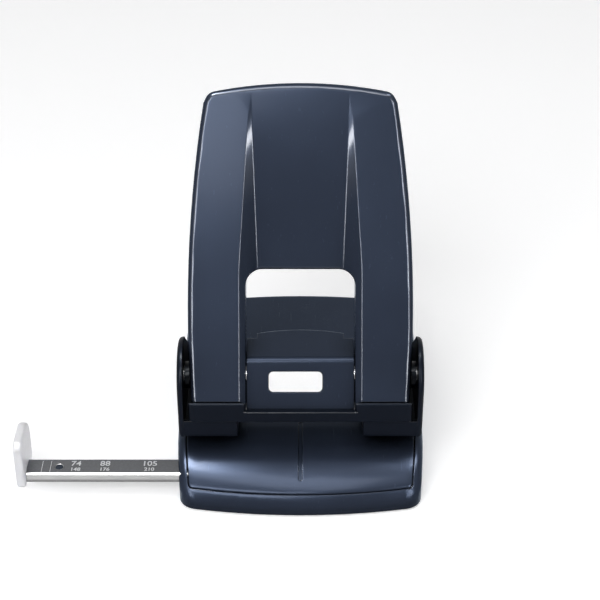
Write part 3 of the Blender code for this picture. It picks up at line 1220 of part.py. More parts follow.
def flute_section(along, wall):
    """The recess across the handle at a distance from the axle, as points across and out."""
    share = min(max((FLUTE_TOP - along) / (FLUTE_TOP - FLUTE_LOW), 0.0), 1.0)
    depth = FLUTE_DEPTH * share ** FLUTE_POWER
    outer = FLUTE_OUTER_TOP + (FLUTE_OUTER_LOW - FLUTE_OUTER_TOP) * share ** FLUTE_EDGE_POWER + wall / 2
    inner = FLUTE_INNER_TOP + (FLUTE_INNER_LOW - FLUTE_INNER_TOP) * share + wall / 2
    depth = max(depth + wall, FACE_SKIM)
    top = FACE_OFFSET + FACE_SKIM
    slope = math.degrees(math.atan2(depth, outer - inner))
    edge = FLUTE_ROUND * math.tan(math.radians(slope / 2))
    foot = FLUTE_FILLET * math.tan(math.radians(slope / 2))
    half = [(outer + edge, top + OVERRUN)]
    half += arc((outer + edge, top - FLUTE_ROUND), FLUTE_ROUND, 90, 90 + slope, 4)
    half += arc((inner - foot, top - depth + FLUTE_FILLET), FLUTE_FILLET, 270 + slope, 270, 3)
    return half + [(-across, out) for across, out in reversed(half)]


def flute_tool(name, wall):
    """The whole recess as a loft down the handle, from its upper point past the leg ends."""
    stations = []
    steps = 12
    for index in range(steps + 1):
        stations.append(FLUTE_TOP + (FLUTE_LOW - FLUTE_TOP) * index / steps)
    stations.append(-LEG_END_RADIUS - OVERRUN * 2)
    return loft(name, [[(across, along, out) for across, out in flute_section(along, wall)]
                       for along in stations])


def window_tool(name, grow):
    """The opening between the legs, with round upper corners."""
    half = WINDOW_HALF + grow
    top = WINDOW_TOP + grow
    corner = WINDOW_CORNER + grow
    outline = [(half, -LEG_END_RADIUS * 2)]
    outline += arc((half - corner, top - corner), corner, 0, 90, 8)
    outline += arc((corner - half, top - corner), corner, 90, 180, 8)
    outline += [(-half, -LEG_END_RADIUS * 2)]
    return prism(name, outline, -HANDLE_DEPTH_LOW * 3, FACE_OFFSET + OVERRUN * 2)


def face_height(across, along):
    """How far out the handle's face lies at a place, with its flutes."""
    points = flute_section(along, 0)
    points = points[1:len(points) // 2]
    reach = abs(across)
    for first, second in zip(points, points[1:]):
        if second[0] <= reach < first[0]:
            share = (reach - second[0]) / (first[0] - second[0])
            return second[1] * (1 - share) + first[1] * share
    return FACE_OFFSET if reach >= points[0][0] else points[-1][1]


def window_rounding(name):
    """A cutter that rounds the window's edge over, wherever the face lies behind it."""
    centre = (WINDOW_HALF - WINDOW_CORNER, WINDOW_TOP - WINDOW_CORNER)
    path = [(WINDOW_HALF, -LEG_END_RADIUS * 2, 0)]
    for index in range(9):
        turn = math.radians(90 * index / 8)
        path.append((centre[0] + WINDOW_CORNER * math.cos(turn),
                     centre[1] + WINDOW_CORNER * math.sin(turn), turn))
    path += [(-across, along, math.pi - turn) for across, along, turn in reversed(path)]
    rings = []
    radius = WINDOW_ROUND
    for across, along, turn in path:
        ahead = Vector((math.cos(turn), math.sin(turn)))
        height = face_height(across, along)
        probe = Vector((across, along)) + ahead * (radius / 2)
        slope = math.atan2(face_height(probe.x, probe.y) - height, radius / 2)
        drop = radius / math.tan((math.pi / 2 + slope) / 2)
        middle = (radius - FACE_SKIM, height - drop + FACE_SKIM)
        section = [(-OVERRUN, middle[1])]
        section += arc(middle, radius, 180, 90 + math.degrees(slope), 4)
        top = height + WINDOW_CORNER
        section += [(section[-1][0], top), (-OVERRUN, top)]
        rings.append([(across + ahead.x * run, along + ahead.y * run, out) for run, out in section])
    return loft(name, rings)


def handle_screw_places():
    """Where the lever's screws sit, across and along the handle."""
    places = []
    for side in (-1, 1):
        for along in HANDLE_SCREWS_AT:
            places.append((side, side * (PIN_X + LEVER_HALF + LUG_REACH / 2), along))
    return places


def make_handle_shell(pivot):
    """The moulded handle: rounded face, two tapering flutes, window and hollow legs."""
    shell = handle_body("handle", 0)
    combine(shell, flute_tool("flutes", 0))
    combine(shell, window_tool("window", 0))
    combine(shell, window_rounding("rounding"))
    hollow = handle_body("hollow", HANDLE_WALL)
    combine(hollow, flute_tool("flute_wall", HANDLE_WALL))
    combine(hollow, window_tool("window_wall", HANDLE_WALL))
    combine(shell, hollow)
    floor = FACE_OFFSET - HANDLE_WALL
    for _, across, along in handle_screw_places():
        boss = rod("boss", BOSS_RADIUS, (across, along, LEVER_ARM_FRONT + GAP),
                   (across, along, floor + HANDLE_WALL / 2), 20)
        combine(shell, boss, "UNION")
        combine(shell, rod("hole", SCREW_SHANK + GAP, (across, along, 0),
                           (across, along, floor), 14))
    reach = HANDLE_HALF + OVERRUN
    combine(shell, rod("bore", AXLE_RADIUS + RUN_CLEARANCE, (-reach, 0, 0), (reach, 0, 0)))
    return finish(shell, "handle_shell", (0.075, 0.09, 0.13), 0.35, 0.0, pivot)


def lever_outline():
    """The cam lever's side view, along the handle and out of it, with the involute edge."""
    turn = Matrix.Rotation(-HANDLE_TILT, 2)

    def local(back, up):
        placed = turn @ Vector((back, up))
        return (placed.x, placed.y)

    cam = []
    steps = 12
    for index in range(steps + 1):
        angle = PRESS_ANGLE * index / steps
        unwound = CAM_RADIUS * angle
        cam.append(local(CAM_RADIUS * math.cos(angle) + unwound * math.sin(angle),
                         CAM_RADIUS * math.sin(angle) - unwound * math.cos(angle)))
    heel = local(LEVER_HUB, 0)
    heel_angle = math.degrees(math.atan2(heel[1], heel[0]))
    arm_angle = math.degrees(math.asin(LEVER_ARM_FRONT / LEVER_HUB))
    back_foot = (FRAME_EYE + LEVER_HUB, -LEVER_ARM_BACK)
    outline = [back_foot, (LEVER_TOP, -LEVER_ARM_BACK), (LEVER_TOP, LEVER_ARM_FRONT)]
    outline += arc((0, 0), LEVER_HUB, arm_angle, heel_angle + 360, 18)
    return outline + cam


def make_cam_lever(side, pivot):
    """A steel lever that ends in the involute cam, with lugs for its two screws."""
    low = side * PIN_X - LEVER_HALF
    lever = prism("lever", lever_outline(), low, low + 2 * LEVER_HALF, "X")
    for lug_side, across, along in handle_screw_places():
        if lug_side != side:
            continue
        ends = (side * (PIN_X + LEVER_HALF - GAP), across + side * LUG_REACH / 2)
        lug = box("lug", (min(ends), along - LUG_HALF, LEVER_ARM_FRONT - LUG_THICK),
                  (max(ends), along + LUG_HALF, LEVER_ARM_FRONT))
        combine(lever, lug, "UNION")
        combine(lever, rod("hole", SCREW_SHANK + GAP, (across, along, 0),
                           (across, along, FACE_OFFSET), 14))
    ends = (low - OVERRUN, low + 2 * LEVER_HALF + OVERRUN)
    combine(lever, rod("bore", BUSH_RADIUS + GAP / 2, (ends[0], 0, 0), (ends[1], 0, 0)))
    combine(lever, rod("bar_hole", CROSSBAR_RADIUS + GAP / 2, (ends[0], CROSSBAR_AT, 0),
                       (ends[1], CROSSBAR_AT, 0), 24))
    finish(lever, f"{side_name(side)}_cam_lever", (0.5, 0.5, 0.51), 0.35, 1.0, pivot)
    bush = rod("bush", BUSH_RADIUS, (side * PIN_X - BUSH_HALF, 0, 0),
               (side * PIN_X + BUSH_HALF, 0, 0))
    combine(bush, rod("bore", AXLE_RADIUS + RUN_CLEARANCE / 2,
                      (side * PIN_X - BUSH_HALF - OVERRUN, 0, 0),
                      (side * PIN_X + BUSH_HALF + OVERRUN, 0, 0)))
    finish(bush, f"{side_name(side)}_bush", (0.62, 0.5, 0.25), 0.35, 1.0, pivot)


def make_handle_fittings(pivot):
    """The bar that ties the levers, and the screws that hold them in the handle."""
    reach = PIN_X + LEVER_HALF + OVERRUN
    bar = rod("bar", CROSSBAR_RADIUS, (-reach, CROSSBAR_AT, 0), (reach, CROSSBAR_AT, 0), 24)
    finish(bar, "handle_crossbar", (0.6, 0.6, 0.6), 0.3, 1.0, pivot)
    for number, (_, across, along) in enumerate(handle_screw_places()):
        seat = LEVER_ARM_FRONT - LUG_THICK - GAP / 2
        head = rod("head", SCREW_HEAD, (across, along, seat - SCREW_HEAD_THICK),
                   (across, along, seat), 20)
        shank = rod("shank", SCREW_SHANK, (across, along, seat - GAP),
                    (across, along, FACE_OFFSET - HANDLE_WALL - GAP), 14)
        combine(head, shank, "UNION")
        finish(head, f"handle_screw_{number + 1}", (0.6, 0.6, 0.6), 0.3, 1.0, pivot)


def clear_scene():
    """Remove what the scene holds."""
    for item in list(bpy.data.objects):
        bpy.data.objects.remove(item)


clear_scene()
PARTS = bpy.data.collections.new("hole_punch")
bpy.context.scene.collection.children.link(PARTS)
PIVOT = bpy.data.objects.new("handle_pivot", None)
PARTS.objects.link(PIVOT)
PIVOT.location = (0, PIVOT_Y, PIVOT_Z)
PIVOT.rotation_euler = (HANDLE_TILT, 0, 0)

make_base_shell()
make_base_deck()
make_die_plate()
make_paper_stop()
make_bottom_plate()
make_chip_tray()
make_feet()
make_frame_screws()
make_frame_tie()
make_front_bar()
make_front_cover()
make_axle()
make_ruler()
make_handle_shell(PIVOT)
make_handle_fittings(PIVOT)
for SIDE in (-1, 1):
    make_punch_frame(SIDE)
    make_side_shroud(SIDE)
    make_punch_pin(SIDE)
    make_spring(SIDE)
    make_cam_lever(SIDE, PIVOT)
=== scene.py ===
"""Looks of the two-hole punch: materials, marks, springs, floor, light and camera."""

import math

import bmesh
import bpy
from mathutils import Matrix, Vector


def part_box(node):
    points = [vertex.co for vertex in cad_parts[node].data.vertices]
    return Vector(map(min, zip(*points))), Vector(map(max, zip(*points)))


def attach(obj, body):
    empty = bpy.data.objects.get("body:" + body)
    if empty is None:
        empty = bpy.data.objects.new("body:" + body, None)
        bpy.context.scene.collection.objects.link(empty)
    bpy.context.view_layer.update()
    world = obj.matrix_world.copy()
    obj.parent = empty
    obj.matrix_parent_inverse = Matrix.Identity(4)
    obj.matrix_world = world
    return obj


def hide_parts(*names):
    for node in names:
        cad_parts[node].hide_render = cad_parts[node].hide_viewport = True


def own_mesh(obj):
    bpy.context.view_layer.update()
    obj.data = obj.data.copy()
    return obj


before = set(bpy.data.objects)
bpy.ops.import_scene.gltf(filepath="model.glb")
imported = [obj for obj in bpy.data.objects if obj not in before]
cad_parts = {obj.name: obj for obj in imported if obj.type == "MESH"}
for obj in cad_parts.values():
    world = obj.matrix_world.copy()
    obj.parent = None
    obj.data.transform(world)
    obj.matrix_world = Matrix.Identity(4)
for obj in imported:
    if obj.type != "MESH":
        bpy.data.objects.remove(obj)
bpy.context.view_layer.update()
MM = 0.001

# ---------------------------------------------------------------- camera
SENSOR_WIDTH = 36.0
LENS = 96.0
SHIFT = -0.4 / 600.0  # 0.4 px of a picture that is 600 px wide
LOOKS_DOWN = math.radians(33.0)
LOOKS_AT = Vector((0.0, -0.011, 0.078))
CAMERA_DISTANCE = 0.773


def add_camera():
    """The photograph's view: from the front, 33 degrees down."""
    data = bpy.data.cameras.new("camera")
    data.sensor_width = SENSOR_WIDTH
    data.lens = LENS
    data.shift_x = SHIFT
    eye = bpy.data.objects.new("camera", data)
    bpy.context.scene.collection.objects.link(eye)
    back = Vector((0.0, -math.cos(LOOKS_DOWN), math.sin(LOOKS_DOWN)))
    eye.location = LOOKS_AT + back * CAMERA_DISTANCE
    eye.rotation_euler = (math.pi / 2 - LOOKS_DOWN, 0.0, 0.0)
    bpy.context.scene.camera = eye


# ---------------------------------------------------------------- node helpers
NOISE_RANGE = (0.3, 0.7)  # most values of a noise texture fall between these
RIM_RANGE = (0.995, 0.9)  # cosines between the rounded and the plain normal, off and on an edge
LEAN_STARTS = (0.990, 0.965)  # cosines of 8 and 15 degrees from a face
LEAN_ENDS = (0.83, 0.89)  # cosines of 34 and 27 degrees from it
OPEN_RANGE = (0.95, 0.25)  # how open a flat place is, and a deep corner


class Surface:
    """A Principled material that is built up node by node."""

    def __init__(self, name):
        self.material = bpy.data.materials.new(name)
        self.material.use_nodes = True
        self.tree = self.material.node_tree
        self.shader = self.tree.nodes["Principled BSDF"]
        self.place = self.tree.nodes.new("ShaderNodeTexCoord").outputs["Object"]

    def node(self, kind, settings=None, **values):
        """Add a node. Values are constants or sockets, by input name or number."""
        made = self.tree.nodes.new(kind)
        for key, value in (settings or {}).items():
            setattr(made, key, value)
        for key, value in values.items():
            name = int(key[1:]) if key[0] == "i" and key[1:].isdigit() else key.replace("_", " ")
            self.put(made.inputs[name], value)
        return made

    def put(self, socket, value):
        """Set a socket to a constant or link it."""
        if isinstance(value, bpy.types.NodeSocket):
            self.tree.links.new(value, socket)
        else:
            socket.default_value = value

    def set(self, **values):
        """Set the shader's own inputs, with _ for each space in their names."""
        for key, value in values.items():
            self.put(self.shader.inputs[key.replace("_", " ")], value)

    def math(self, operation, first, second, clamp=False):
        """One sum on numbers."""
        made = self.node("ShaderNodeMath", {"operation": operation, "use_clamp": clamp},
                         i0=first, i1=second)
        return made.outputs[0]

    def dot(self, first, second):
        """The cosine between two directions."""
        made = self.node("ShaderNodeVectorMath", {"operation": "DOT_PRODUCT"}, i0=first, i1=second)
        return made.outputs["Value"]

    def stretch(self, scale):
        """Object coordinates with their own scale on each axis."""
        return self.node("ShaderNodeMapping", Vector=self.place, Scale=scale).outputs[0]

    def noise(self, scale, detail=3.0, vector=None):
        """Noise from 0 to 1 about a middle of one half."""
        made = self.node("ShaderNodeTexNoise", Vector=vector or self.place, Scale=scale,
                         Detail=detail, Roughness=0.5)
        return made.outputs["Fac"]

    def remap(self, value, low, high, to_low=0.0, to_high=1.0):
        """Map a range onto another, held at its ends."""
        made = self.node("ShaderNodeMapRange", {"clamp": True}, Value=value, From_Min=low,
                         From_Max=high, To_Min=to_low, To_Max=to_high)
        return made.outputs["Result"]

    def mix(self, share, first, second):
        """Mix two colours."""
        made = self.node("ShaderNodeMix", {"data_type": "RGBA"})
        self.put(made.inputs["Factor"], share)
        colours = [socket for socket in made.inputs if socket.type == "RGBA"]
        for socket, value in zip(colours, (first, second)):
            self.put(socket, (*value, 1.0) if isinstance(value, tuple) else value)
        return [socket for socket in made.outputs if socket.type == "RGBA"][0]

    def soft_edge(self, radius):
        """A normal that rounds sharp edges, and a mask that is 1 on them."""
        rounded = self.node("ShaderNodeBevel", {"samples": 6}, Radius=radius).outputs[0]
        plain = self.node("ShaderNodeNewGeometry").outputs["Normal"]
        return rounded, self.remap(self.dot(rounded, plain), *RIM_RANGE)

    def turned_from(self, face):
        """A mask for the rounded edges of a flat face: 1 where they lean 15 to 27 degrees."""
        normal = self.tree.nodes.new("ShaderNodeTexCoord").outputs["Normal"]
        lean = self.dot(normal, face)
        return self.math("MULTIPLY", self.remap(lean, *LEAN_STARTS), self.remap(lean, *LEAN_ENDS))

    def painted_shade_mask(self, reach):
        """A mask that rises in corners and hollows, where the colour is darkened as painted shade.
        """
        open_share = self.node("ShaderNodeAmbientOcclusion", {"samples": 4}, Distance=reach)
        return self.remap(open_share.outputs["AO"], *OPEN_RANGE)

    def bump(self, height, distance, normal=None):
        """Raise the surface by a height map, in metres."""
        made = self.node("ShaderNodeBump", Height=height, Distance=distance, Strength=1.0)
        if normal is not None:
            self.put(made.inputs["Normal"], normal)
        return made.outputs["Normal"]


def lighter(colour, share):
    """A colour moved towards white."""
    return tuple(part + (1.0 - part) * share for part in colour)


def scaled(colour, factor):
    """A colour made darker or brighter."""
    return tuple(part * factor for part in colour)


# ---------------------------------------------------------------- finishes
COOL_TINT = (0.55, 0.74, 1.0, 1.0)  # keeps mirrored white from greying the dark blue plastic
# Plastic darkens within this reach of corners and hollows, down to this share of its colour:
# painted shade.
PAINTED_SHADE_REACH = 14.0 * MM
PAINTED_SHADE_LEVEL = 0.12
EDGE_WEAR = 0.06
PLASTIC_DRIFT = 0.03
COAT_ROUGHNESS = 0.12
LINE_DEPTH = 0.006 * MM
PRINT_LINE_DEPTH = 0.004 * MM


def plastic(name, colour, roughness, grain, grain_scale=2600.0, pearl=0.0, edge=0.35 * MM,
            specular=0.5, gloss=0.0, polish=0.3, face=None):
    """Moulded plastic: slow colour drift, spark-eroded grain, rubbed edges, faint scuffs and
    painted shade in corners and hollows.

    Its clear coat is as strong as gloss, and stronger by polish on the edges.
    """
    s = Surface(name)
    drift = s.noise(22.0, 4.0)
    fine = s.noise(grain_scale, 2.0)
    rounded, rim = s.soft_edge(edge)
    tone = s.mix(s.remap(drift, *NOISE_RANGE), scaled(colour, 0.93), scaled(colour, 1.07))
    patchy = s.math("MULTIPLY", rim, s.remap(s.noise(160.0, 5.0), 0.42, 0.66))
    tone = s.mix(s.math("MULTIPLY", patchy, EDGE_WEAR), tone, lighter(colour, 0.25))
    hairs = s.noise(1.0, 3.0, s.stretch((900.0, 60.0, 300.0)))
    scuff = s.remap(hairs, 0.66, 0.74, 0.0, 0.05)
    level = s.remap(drift, 0.2, 0.8, roughness - PLASTIC_DRIFT, roughness + PLASTIC_DRIFT)
    level = s.math("ADD", level, scuff)
    level = s.math("ADD", level, s.math("MULTIPLY", s.math("SUBTRACT", fine, 0.5), 0.12))
    coated = s.math("MAXIMUM", rim, s.turned_from(face)) if face else rim
    # The base colour carries painted shade in corners and hollows.
    s.set(Base_Color=s.mix(s.painted_shade_mask(PAINTED_SHADE_REACH), tone, scaled(colour, PAINTED_SHADE_LEVEL)),
          Roughness=level, Specular_IOR_Level=specular, Specular_Tint=COOL_TINT, Metallic=pearl,
          Coat_Weight=s.remap(coated, 0.0, 1.0, gloss, gloss + polish),
          Coat_Roughness=COAT_ROUGHNESS, Coat_Normal=rounded, Normal=s.bump(fine, grain, rounded))
    return s


def steel(name, colour, roughness, lines, line_scale=900.0, stain=0.12):
    """Ground or plated steel: fine machining lines, faint clouding and bright edges."""
    s = Surface(name)
    cloud = s.noise(70.0, 4.0)
    rounded, rim = s.soft_edge(0.2 * MM)
    grind = s.noise(1.0, 2.0, s.stretch(tuple(line_scale * part for part in lines)))
    tone = s.mix(s.remap(cloud, *NOISE_RANGE), scaled(colour, 1.0 - stain), colour)
    tone = s.mix(s.math("MULTIPLY", rim, 0.5), tone, lighter(colour, 0.3))
    level = s.math("ADD", s.remap(grind, *NOISE_RANGE, roughness - 0.06, roughness + 0.06),
                   s.remap(cloud, *NOISE_RANGE, 0.03, -0.03))
    s.set(Base_Color=tone, Metallic=1.0, Roughness=level,
          Normal=s.bump(grind, LINE_DEPTH, rounded))
    return s


def cast_paint(name, colour):
    """Thick satin paint on a casting, chipped to bare metal on its edges."""
    s = Surface(name)
    lumps = s.noise(420.0, 4.0)
    rounded, rim = s.soft_edge(0.5 * MM)
    chip = s.math("MULTIPLY", rim, s.remap(s.noise(300.0, 3.0), 0.55, 0.6))
    paint = s.mix(lumps, scaled(colour, 0.85), colour)
    s.set(Base_Color=s.mix(chip, paint, (0.32, 0.31, 0.3)),
          Roughness=s.remap(lumps, *NOISE_RANGE, 0.42, 0.58),
          Normal=s.bump(lumps, 0.06 * MM, rounded))
    return s


def rubber(name):
    """Black moulded rubber with a dusty bloom."""
    s = Surface(name)
    dust = s.noise(260.0, 5.0)
    bloom = s.remap(dust, 0.45, 0.75, 0.0, 0.5)
    s.set(Base_Color=s.mix(bloom, (0.016, 0.016, 0.017), (0.06, 0.058, 0.055)),
          Roughness=s.remap(dust, *NOISE_RANGE, 0.7, 0.9),
          Normal=s.bump(s.noise(1800.0, 3.0), 0.03 * MM))
    return s


def printed_ruler(name):
    """Steel strip: its flat top carries a dark print, and the rolled edge is bare metal, darkened
    towards its bottom as painted shade.
    """
    s = Surface(name)
    made = s.node("ShaderNodeSeparateXYZ", Vector=s.place)
    along_y, height = made.outputs["Y"], made.outputs["Z"]
    low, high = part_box("ruler_strip")
    top = s.remap(height, high.z - 0.12 * MM, high.z - 0.04 * MM)
    inner = s.remap(along_y, low.y + 0.9 * MM, low.y + 1.3 * MM)
    rounded, rim = s.soft_edge(0.8 * MM)
    rubbed = s.math("MULTIPLY", rim, s.remap(s.noise(500.0, 4.0), 0.5, 0.62))
    cover = s.math("SUBTRACT", s.math("MULTIPLY", top, inner), s.math("MULTIPLY", rubbed, 0.5),
                   True)
    ink = s.mix(s.remap(s.noise(900.0, 3.0), 0.35, 0.65), (0.038, 0.041, 0.048),
                (0.052, 0.056, 0.064))
    cloud = s.noise(60.0, 4.0)
    bare = s.mix(s.remap(cloud, *NOISE_RANGE), (0.37, 0.37, 0.37), (0.46, 0.46, 0.455))
    # Painted shade: the bare metal darkens towards the bottom of the rolled edge.
    painted_shade_low = s.remap(height, low.z + 0.2 * MM, low.z + 2.0 * MM, 0.8, 0.0)
    bare = s.mix(painted_shade_low, bare, (0.045, 0.045, 0.045))
    grind = s.noise(1.0, 3.0, s.stretch((30.0, 1700.0, 1700.0)))
    bare_level = s.remap(grind, *NOISE_RANGE, 0.24, 0.38)
    level = s.node("ShaderNodeMix", {"data_type": "FLOAT"}, Factor=cover, i2=bare_level, i3=0.42)
    s.set(Base_Color=s.mix(cover, bare, ink), Metallic=s.math("SUBTRACT", 1.0, cover),
          Roughness=level.outputs[0], Normal=s.bump(grind, PRINT_LINE_DEPTH, rounded))
    return s


def frosted(name):
    """Milky translucent plastic."""
    s = Surface(name)
    cloud = s.noise(120.0, 4.0)
    fine = s.noise(2200.0, 2.0)
    rounded, _ = s.soft_edge(0.4 * MM)
    milk = s.mix(s.remap(cloud, *NOISE_RANGE), (0.80, 0.80, 0.82), (0.88, 0.88, 0.90))
    s.set(Base_Color=milk, Roughness=s.remap(fine, *NOISE_RANGE, 0.34, 0.46),
          Transmission_Weight=0.5, Subsurface_Weight=0.35, Subsurface_Scale=1.0,
          Subsurface_Radius=(4.0 * MM, 4.0 * MM, 4.4 * MM),
          Normal=s.bump(fine, 0.006 * MM, rounded))
    return s


def film_label(name):
    """White self-adhesive film with a very fine tooth."""
    s = Surface(name)
    fibre = s.noise(1500.0, 4.0)
    rounded, _ = s.soft_edge(0.15 * MM)
    s.set(Base_Color=s.mix(fibre, (0.84, 0.84, 0.845), (0.90, 0.90, 0.905)),
          Roughness=s.remap(s.noise(90.0, 3.0), *NOISE_RANGE, 0.42, 0.52),
          Normal=s.bump(fibre, 0.008 * MM, rounded))
    return s


def ink_white(name):
    """White printing ink, thin enough that its ground shows a little."""
    s = Surface(name)
    thin = s.noise(2400.0, 3.0)
    s.set(Base_Color=s.mix(s.remap(thin, 0.35, 0.7), (0.46, 0.47, 0.49), (0.62, 0.63, 0.65)),
          Roughness=s.remap(thin, *NOISE_RANGE, 0.45, 0.6))
    return s


# ---------------------------------------------------------------- the CAD nodes' finishes
NAVY = (0.0218, 0.0288, 0.0470)
DARK = (0.0052, 0.0070, 0.0125)
TRAY_GREY = (0.028, 0.030, 0.036)
RAIL_GREY = (0.02, 0.021, 0.024)
# The punch frames' grey is kept near black so that the throat reads dark: partly painted shade.
CAST_GREY = (0.022, 0.023, 0.025)
PEARL_PIECES = (("base_shell", 1.0), ("front_cover", 0.9), ("handle_shell", 1.0),
                ("base_deck", 1.0))  # with their share of NAVY
HANDLE_LEANS = math.radians(28.0)
HANDLE_FACE = (0.0, -math.cos(HANDLE_LEANS), math.sin(HANDLE_LEANS))
CREASE = math.cos(math.radians(28.0))  # faces that meet more sharply keep a hard edge
WELD = 2e5  # corners in steps of 1 / WELD metre count as one place
ACROSS = (1.0, 0.05, 0.05)  # machining lines crowd along x
# nodes, material, colour, roughness, lines on each axis, line scale, staining
STEELS = (
    (("ruler_detent",), "bright_steel", (0.62, 0.62, 0.63), 0.24, (1.0, 0.04, 0.04), 900.0, 0.12),
    (("axle", "tray_pin"), "turned_steel", (0.60, 0.60, 0.61), 0.22, ACROSS, 900.0, 0.12),
    (("left_punch_pin", "right_punch_pin"), "ground_steel", (0.66, 0.66, 0.67), 0.2,
     (0.05, 0.05, 1.0), 1400.0, 0.12),
    (("die_plate",), "die_steel", (0.50, 0.50, 0.51), 0.3, (0.05, 1.0, 1.0), 900.0, 0.12),
    (("handle_crossbar",), "bar_steel", (0.56, 0.56, 0.57), 0.3, ACROSS, 900.0, 0.12),
    # The tie is blackened steel, kept near black so that the throat reads dark: partly painted
    # shade.
    (("frame_tie",), "dark_tie", (0.03, 0.03, 0.033), 0.4, (1.0, 0.3, 0.3), 900.0, 0.12),
    (("left_cam_lever", "right_cam_lever"), "lever_steel", (0.47, 0.47, 0.48), 0.36,
     (0.3, 1.0, 0.3), 500.0, 0.2),
    (("handle_screw_1", "handle_screw_2", "handle_screw_3", "handle_screw_4", "frame_screw_1",
      "frame_screw_2", "frame_screw_3", "frame_screw_4", "cover_screw_1", "cover_screw_2",
      "ruler_rivet_1", "ruler_rivet_2"), "zinc", (0.58, 0.58, 0.59), 0.34, (1.0, 1.0, 1.0), 700.0,
     0.18),
    (("left_bush", "right_bush"), "bush_brass", (0.62, 0.44, 0.18), 0.3, ACROSS, 900.0, 0.12),
)


def smooth(piece):
    """Shade curved walls as curves: a corner's normal is the mean of the faces that meet there."""
    mesh = piece.data
    places = [tuple(round(part * WELD) for part in vertex.co) for vertex in mesh.vertices]
    around = {}
    for face in mesh.polygons:
        for index in face.vertices:
            around.setdefault(places[index], []).append((face.normal.copy(), face.area))
    normals = []
    for face in mesh.polygons:
        for index in face.vertices:
            total = Vector()
            for normal, area in around[places[index]]:
                if normal.dot(face.normal) > CREASE:
                    total += normal * area
            normals.append(total.normalized())
    mesh.polygons.foreach_set("use_smooth", [True] * len(mesh.polygons))
    mesh.normals_split_custom_set(normals)


def dress(nodes, surface):
    """Give CAD nodes a material and smooth shading."""
    for name in nodes:
        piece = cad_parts[name]
        piece.data.materials.clear()
        piece.data.materials.append(surface.material)
        smooth(piece)


def dress_all():
    """A finish for every CAD node."""
    for name, share in PEARL_PIECES:
        handle = name == "handle_shell"
        dress([name], plastic(f"{name}_pearl", scaled(NAVY, share), 0.24, 0.002 * MM, pearl=0.25,
                              edge=0.6 * MM, specular=0.05, gloss=0.05,
                              polish=0.55 if handle else 0.3,
                              face=HANDLE_FACE if handle else None))
    dress(["left_side_shroud", "right_side_shroud"],
          plastic("shroud", DARK, 0.38, 0.004 * MM, edge=0.6 * MM, specular=0.04, gloss=0.04,
                  polish=0.15))
    dress(["front_bar"],
          plastic("bar", DARK, 0.38, 0.004 * MM, edge=1.1 * MM, specular=0.04, gloss=0.04))
    # The paper stop is darker than DARK so that the throat reads dark: partly painted shade.
    dress(["paper_stop"], plastic("stop_bar", scaled(DARK, 0.7), 0.5, 0.01 * MM, specular=0.1))
    dress(["bottom_plate", "chip_tray"],
          plastic("tray", TRAY_GREY, 0.5, 0.02 * MM, grain_scale=1600.0))
    dress(["ruler_rail"], plastic("rail", RAIL_GREY, 0.45, 0.01 * MM))
    dress(["left_axle_washer", "right_axle_washer"],
          plastic("washer", DARK, 0.3, 0.004 * MM, specular=0.04, gloss=0.1))
    dress(["name_label"], film_label("label"))
    dress(["ruler_end_stop"], frosted("end_stop"))
    dress(["ruler_strip"], printed_ruler("ruler"))
    for nodes, name, colour, roughness, lines, line_scale, stain in STEELS:
        dress(nodes, steel(name, colour, roughness, lines, line_scale, stain))
    dress(["left_punch_frame", "right_punch_frame"], cast_paint("cast_frame", CAST_GREY))
    dress(["centre_foot", "foot_1", "foot_2", "foot_3", "foot_4"], rubber("foot_rubber"))


# ---------------------------------------------------------------- added pieces
INK_LIFT = 0.01 * MM
INK_HALF_THICKNESS = 0.008 * MM
STROKE_SPREAD = 0.07 * MM
INDEX_LINES = (-124.0 * MM, -119.9 * MM)
INDEX_LINE_SIZE = (0.22 * MM, 8.2 * MM, 0.02 * MM)
# how far across, half length and whole length of the sheet, in mm
SIZE_MARKS = ((-107.9, "74", "148"), (-93.9, "88", "176"), (-72.5, "105", "210"))
HALF_TEXT, HALF_UP = 5.0 * MM, 2.0 * MM
WHOLE_TEXT, WHOLE_DOWN = 3.3 * MM, 2.3 * MM
# A dark disc sunk in the guide's end hole, where only shade would show: painted shade.
SHADE_DISC_RADIUS, SHADE_DISC_DEPTH = 1.9 * MM, 0.3 * MM
SHADE_DISC_ACROSS, SHADE_DISC_SUNK = 15.4 * MM, 0.35 * MM
WIRE = 0.35 * MM
TURNS = 5.0
STEPS = 150
RING = 10
CLOSED = 0.1  # the share of the wire that each closed end takes
CLOSED_RISE = 0.05  # and the share of the height


def mesh_piece(name, shape, surface, body):
    """Link a bmesh as a piece that rides on a body."""
    mesh = bpy.data.meshes.new(name)
    shape.to_mesh(mesh)
    shape.free()
    piece = bpy.data.objects.new(name, mesh)
    bpy.context.scene.collection.objects.link(piece)
    piece.data.materials.append(surface.material)
    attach(piece, body)
    return piece


def add_number(name, text, size, place, surface):
    """A printed number on the guide's flat top."""
    data = bpy.data.curves.new(name, "FONT")
    data.body = text
    data.size = size
    data.align_x = "CENTER"
    data.align_y = "CENTER"
    data.extrude = INK_HALF_THICKNESS
    data.offset = STROKE_SPREAD
    holder = bpy.data.objects.new(name, data)
    bpy.context.scene.collection.objects.link(holder)
    holder.location = place
    bpy.context.view_layer.update()
    graph = bpy.context.evaluated_depsgraph_get()
    mesh = bpy.data.meshes.new_from_object(holder.evaluated_get(graph))
    mesh.transform(holder.matrix_world)
    bpy.data.objects.remove(holder)
    piece = bpy.data.objects.new(name, mesh)
    bpy.context.scene.collection.objects.link(piece)
    piece.data.materials.clear()
    piece.data.materials.append(surface.material)
    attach(piece, "paper_guide")


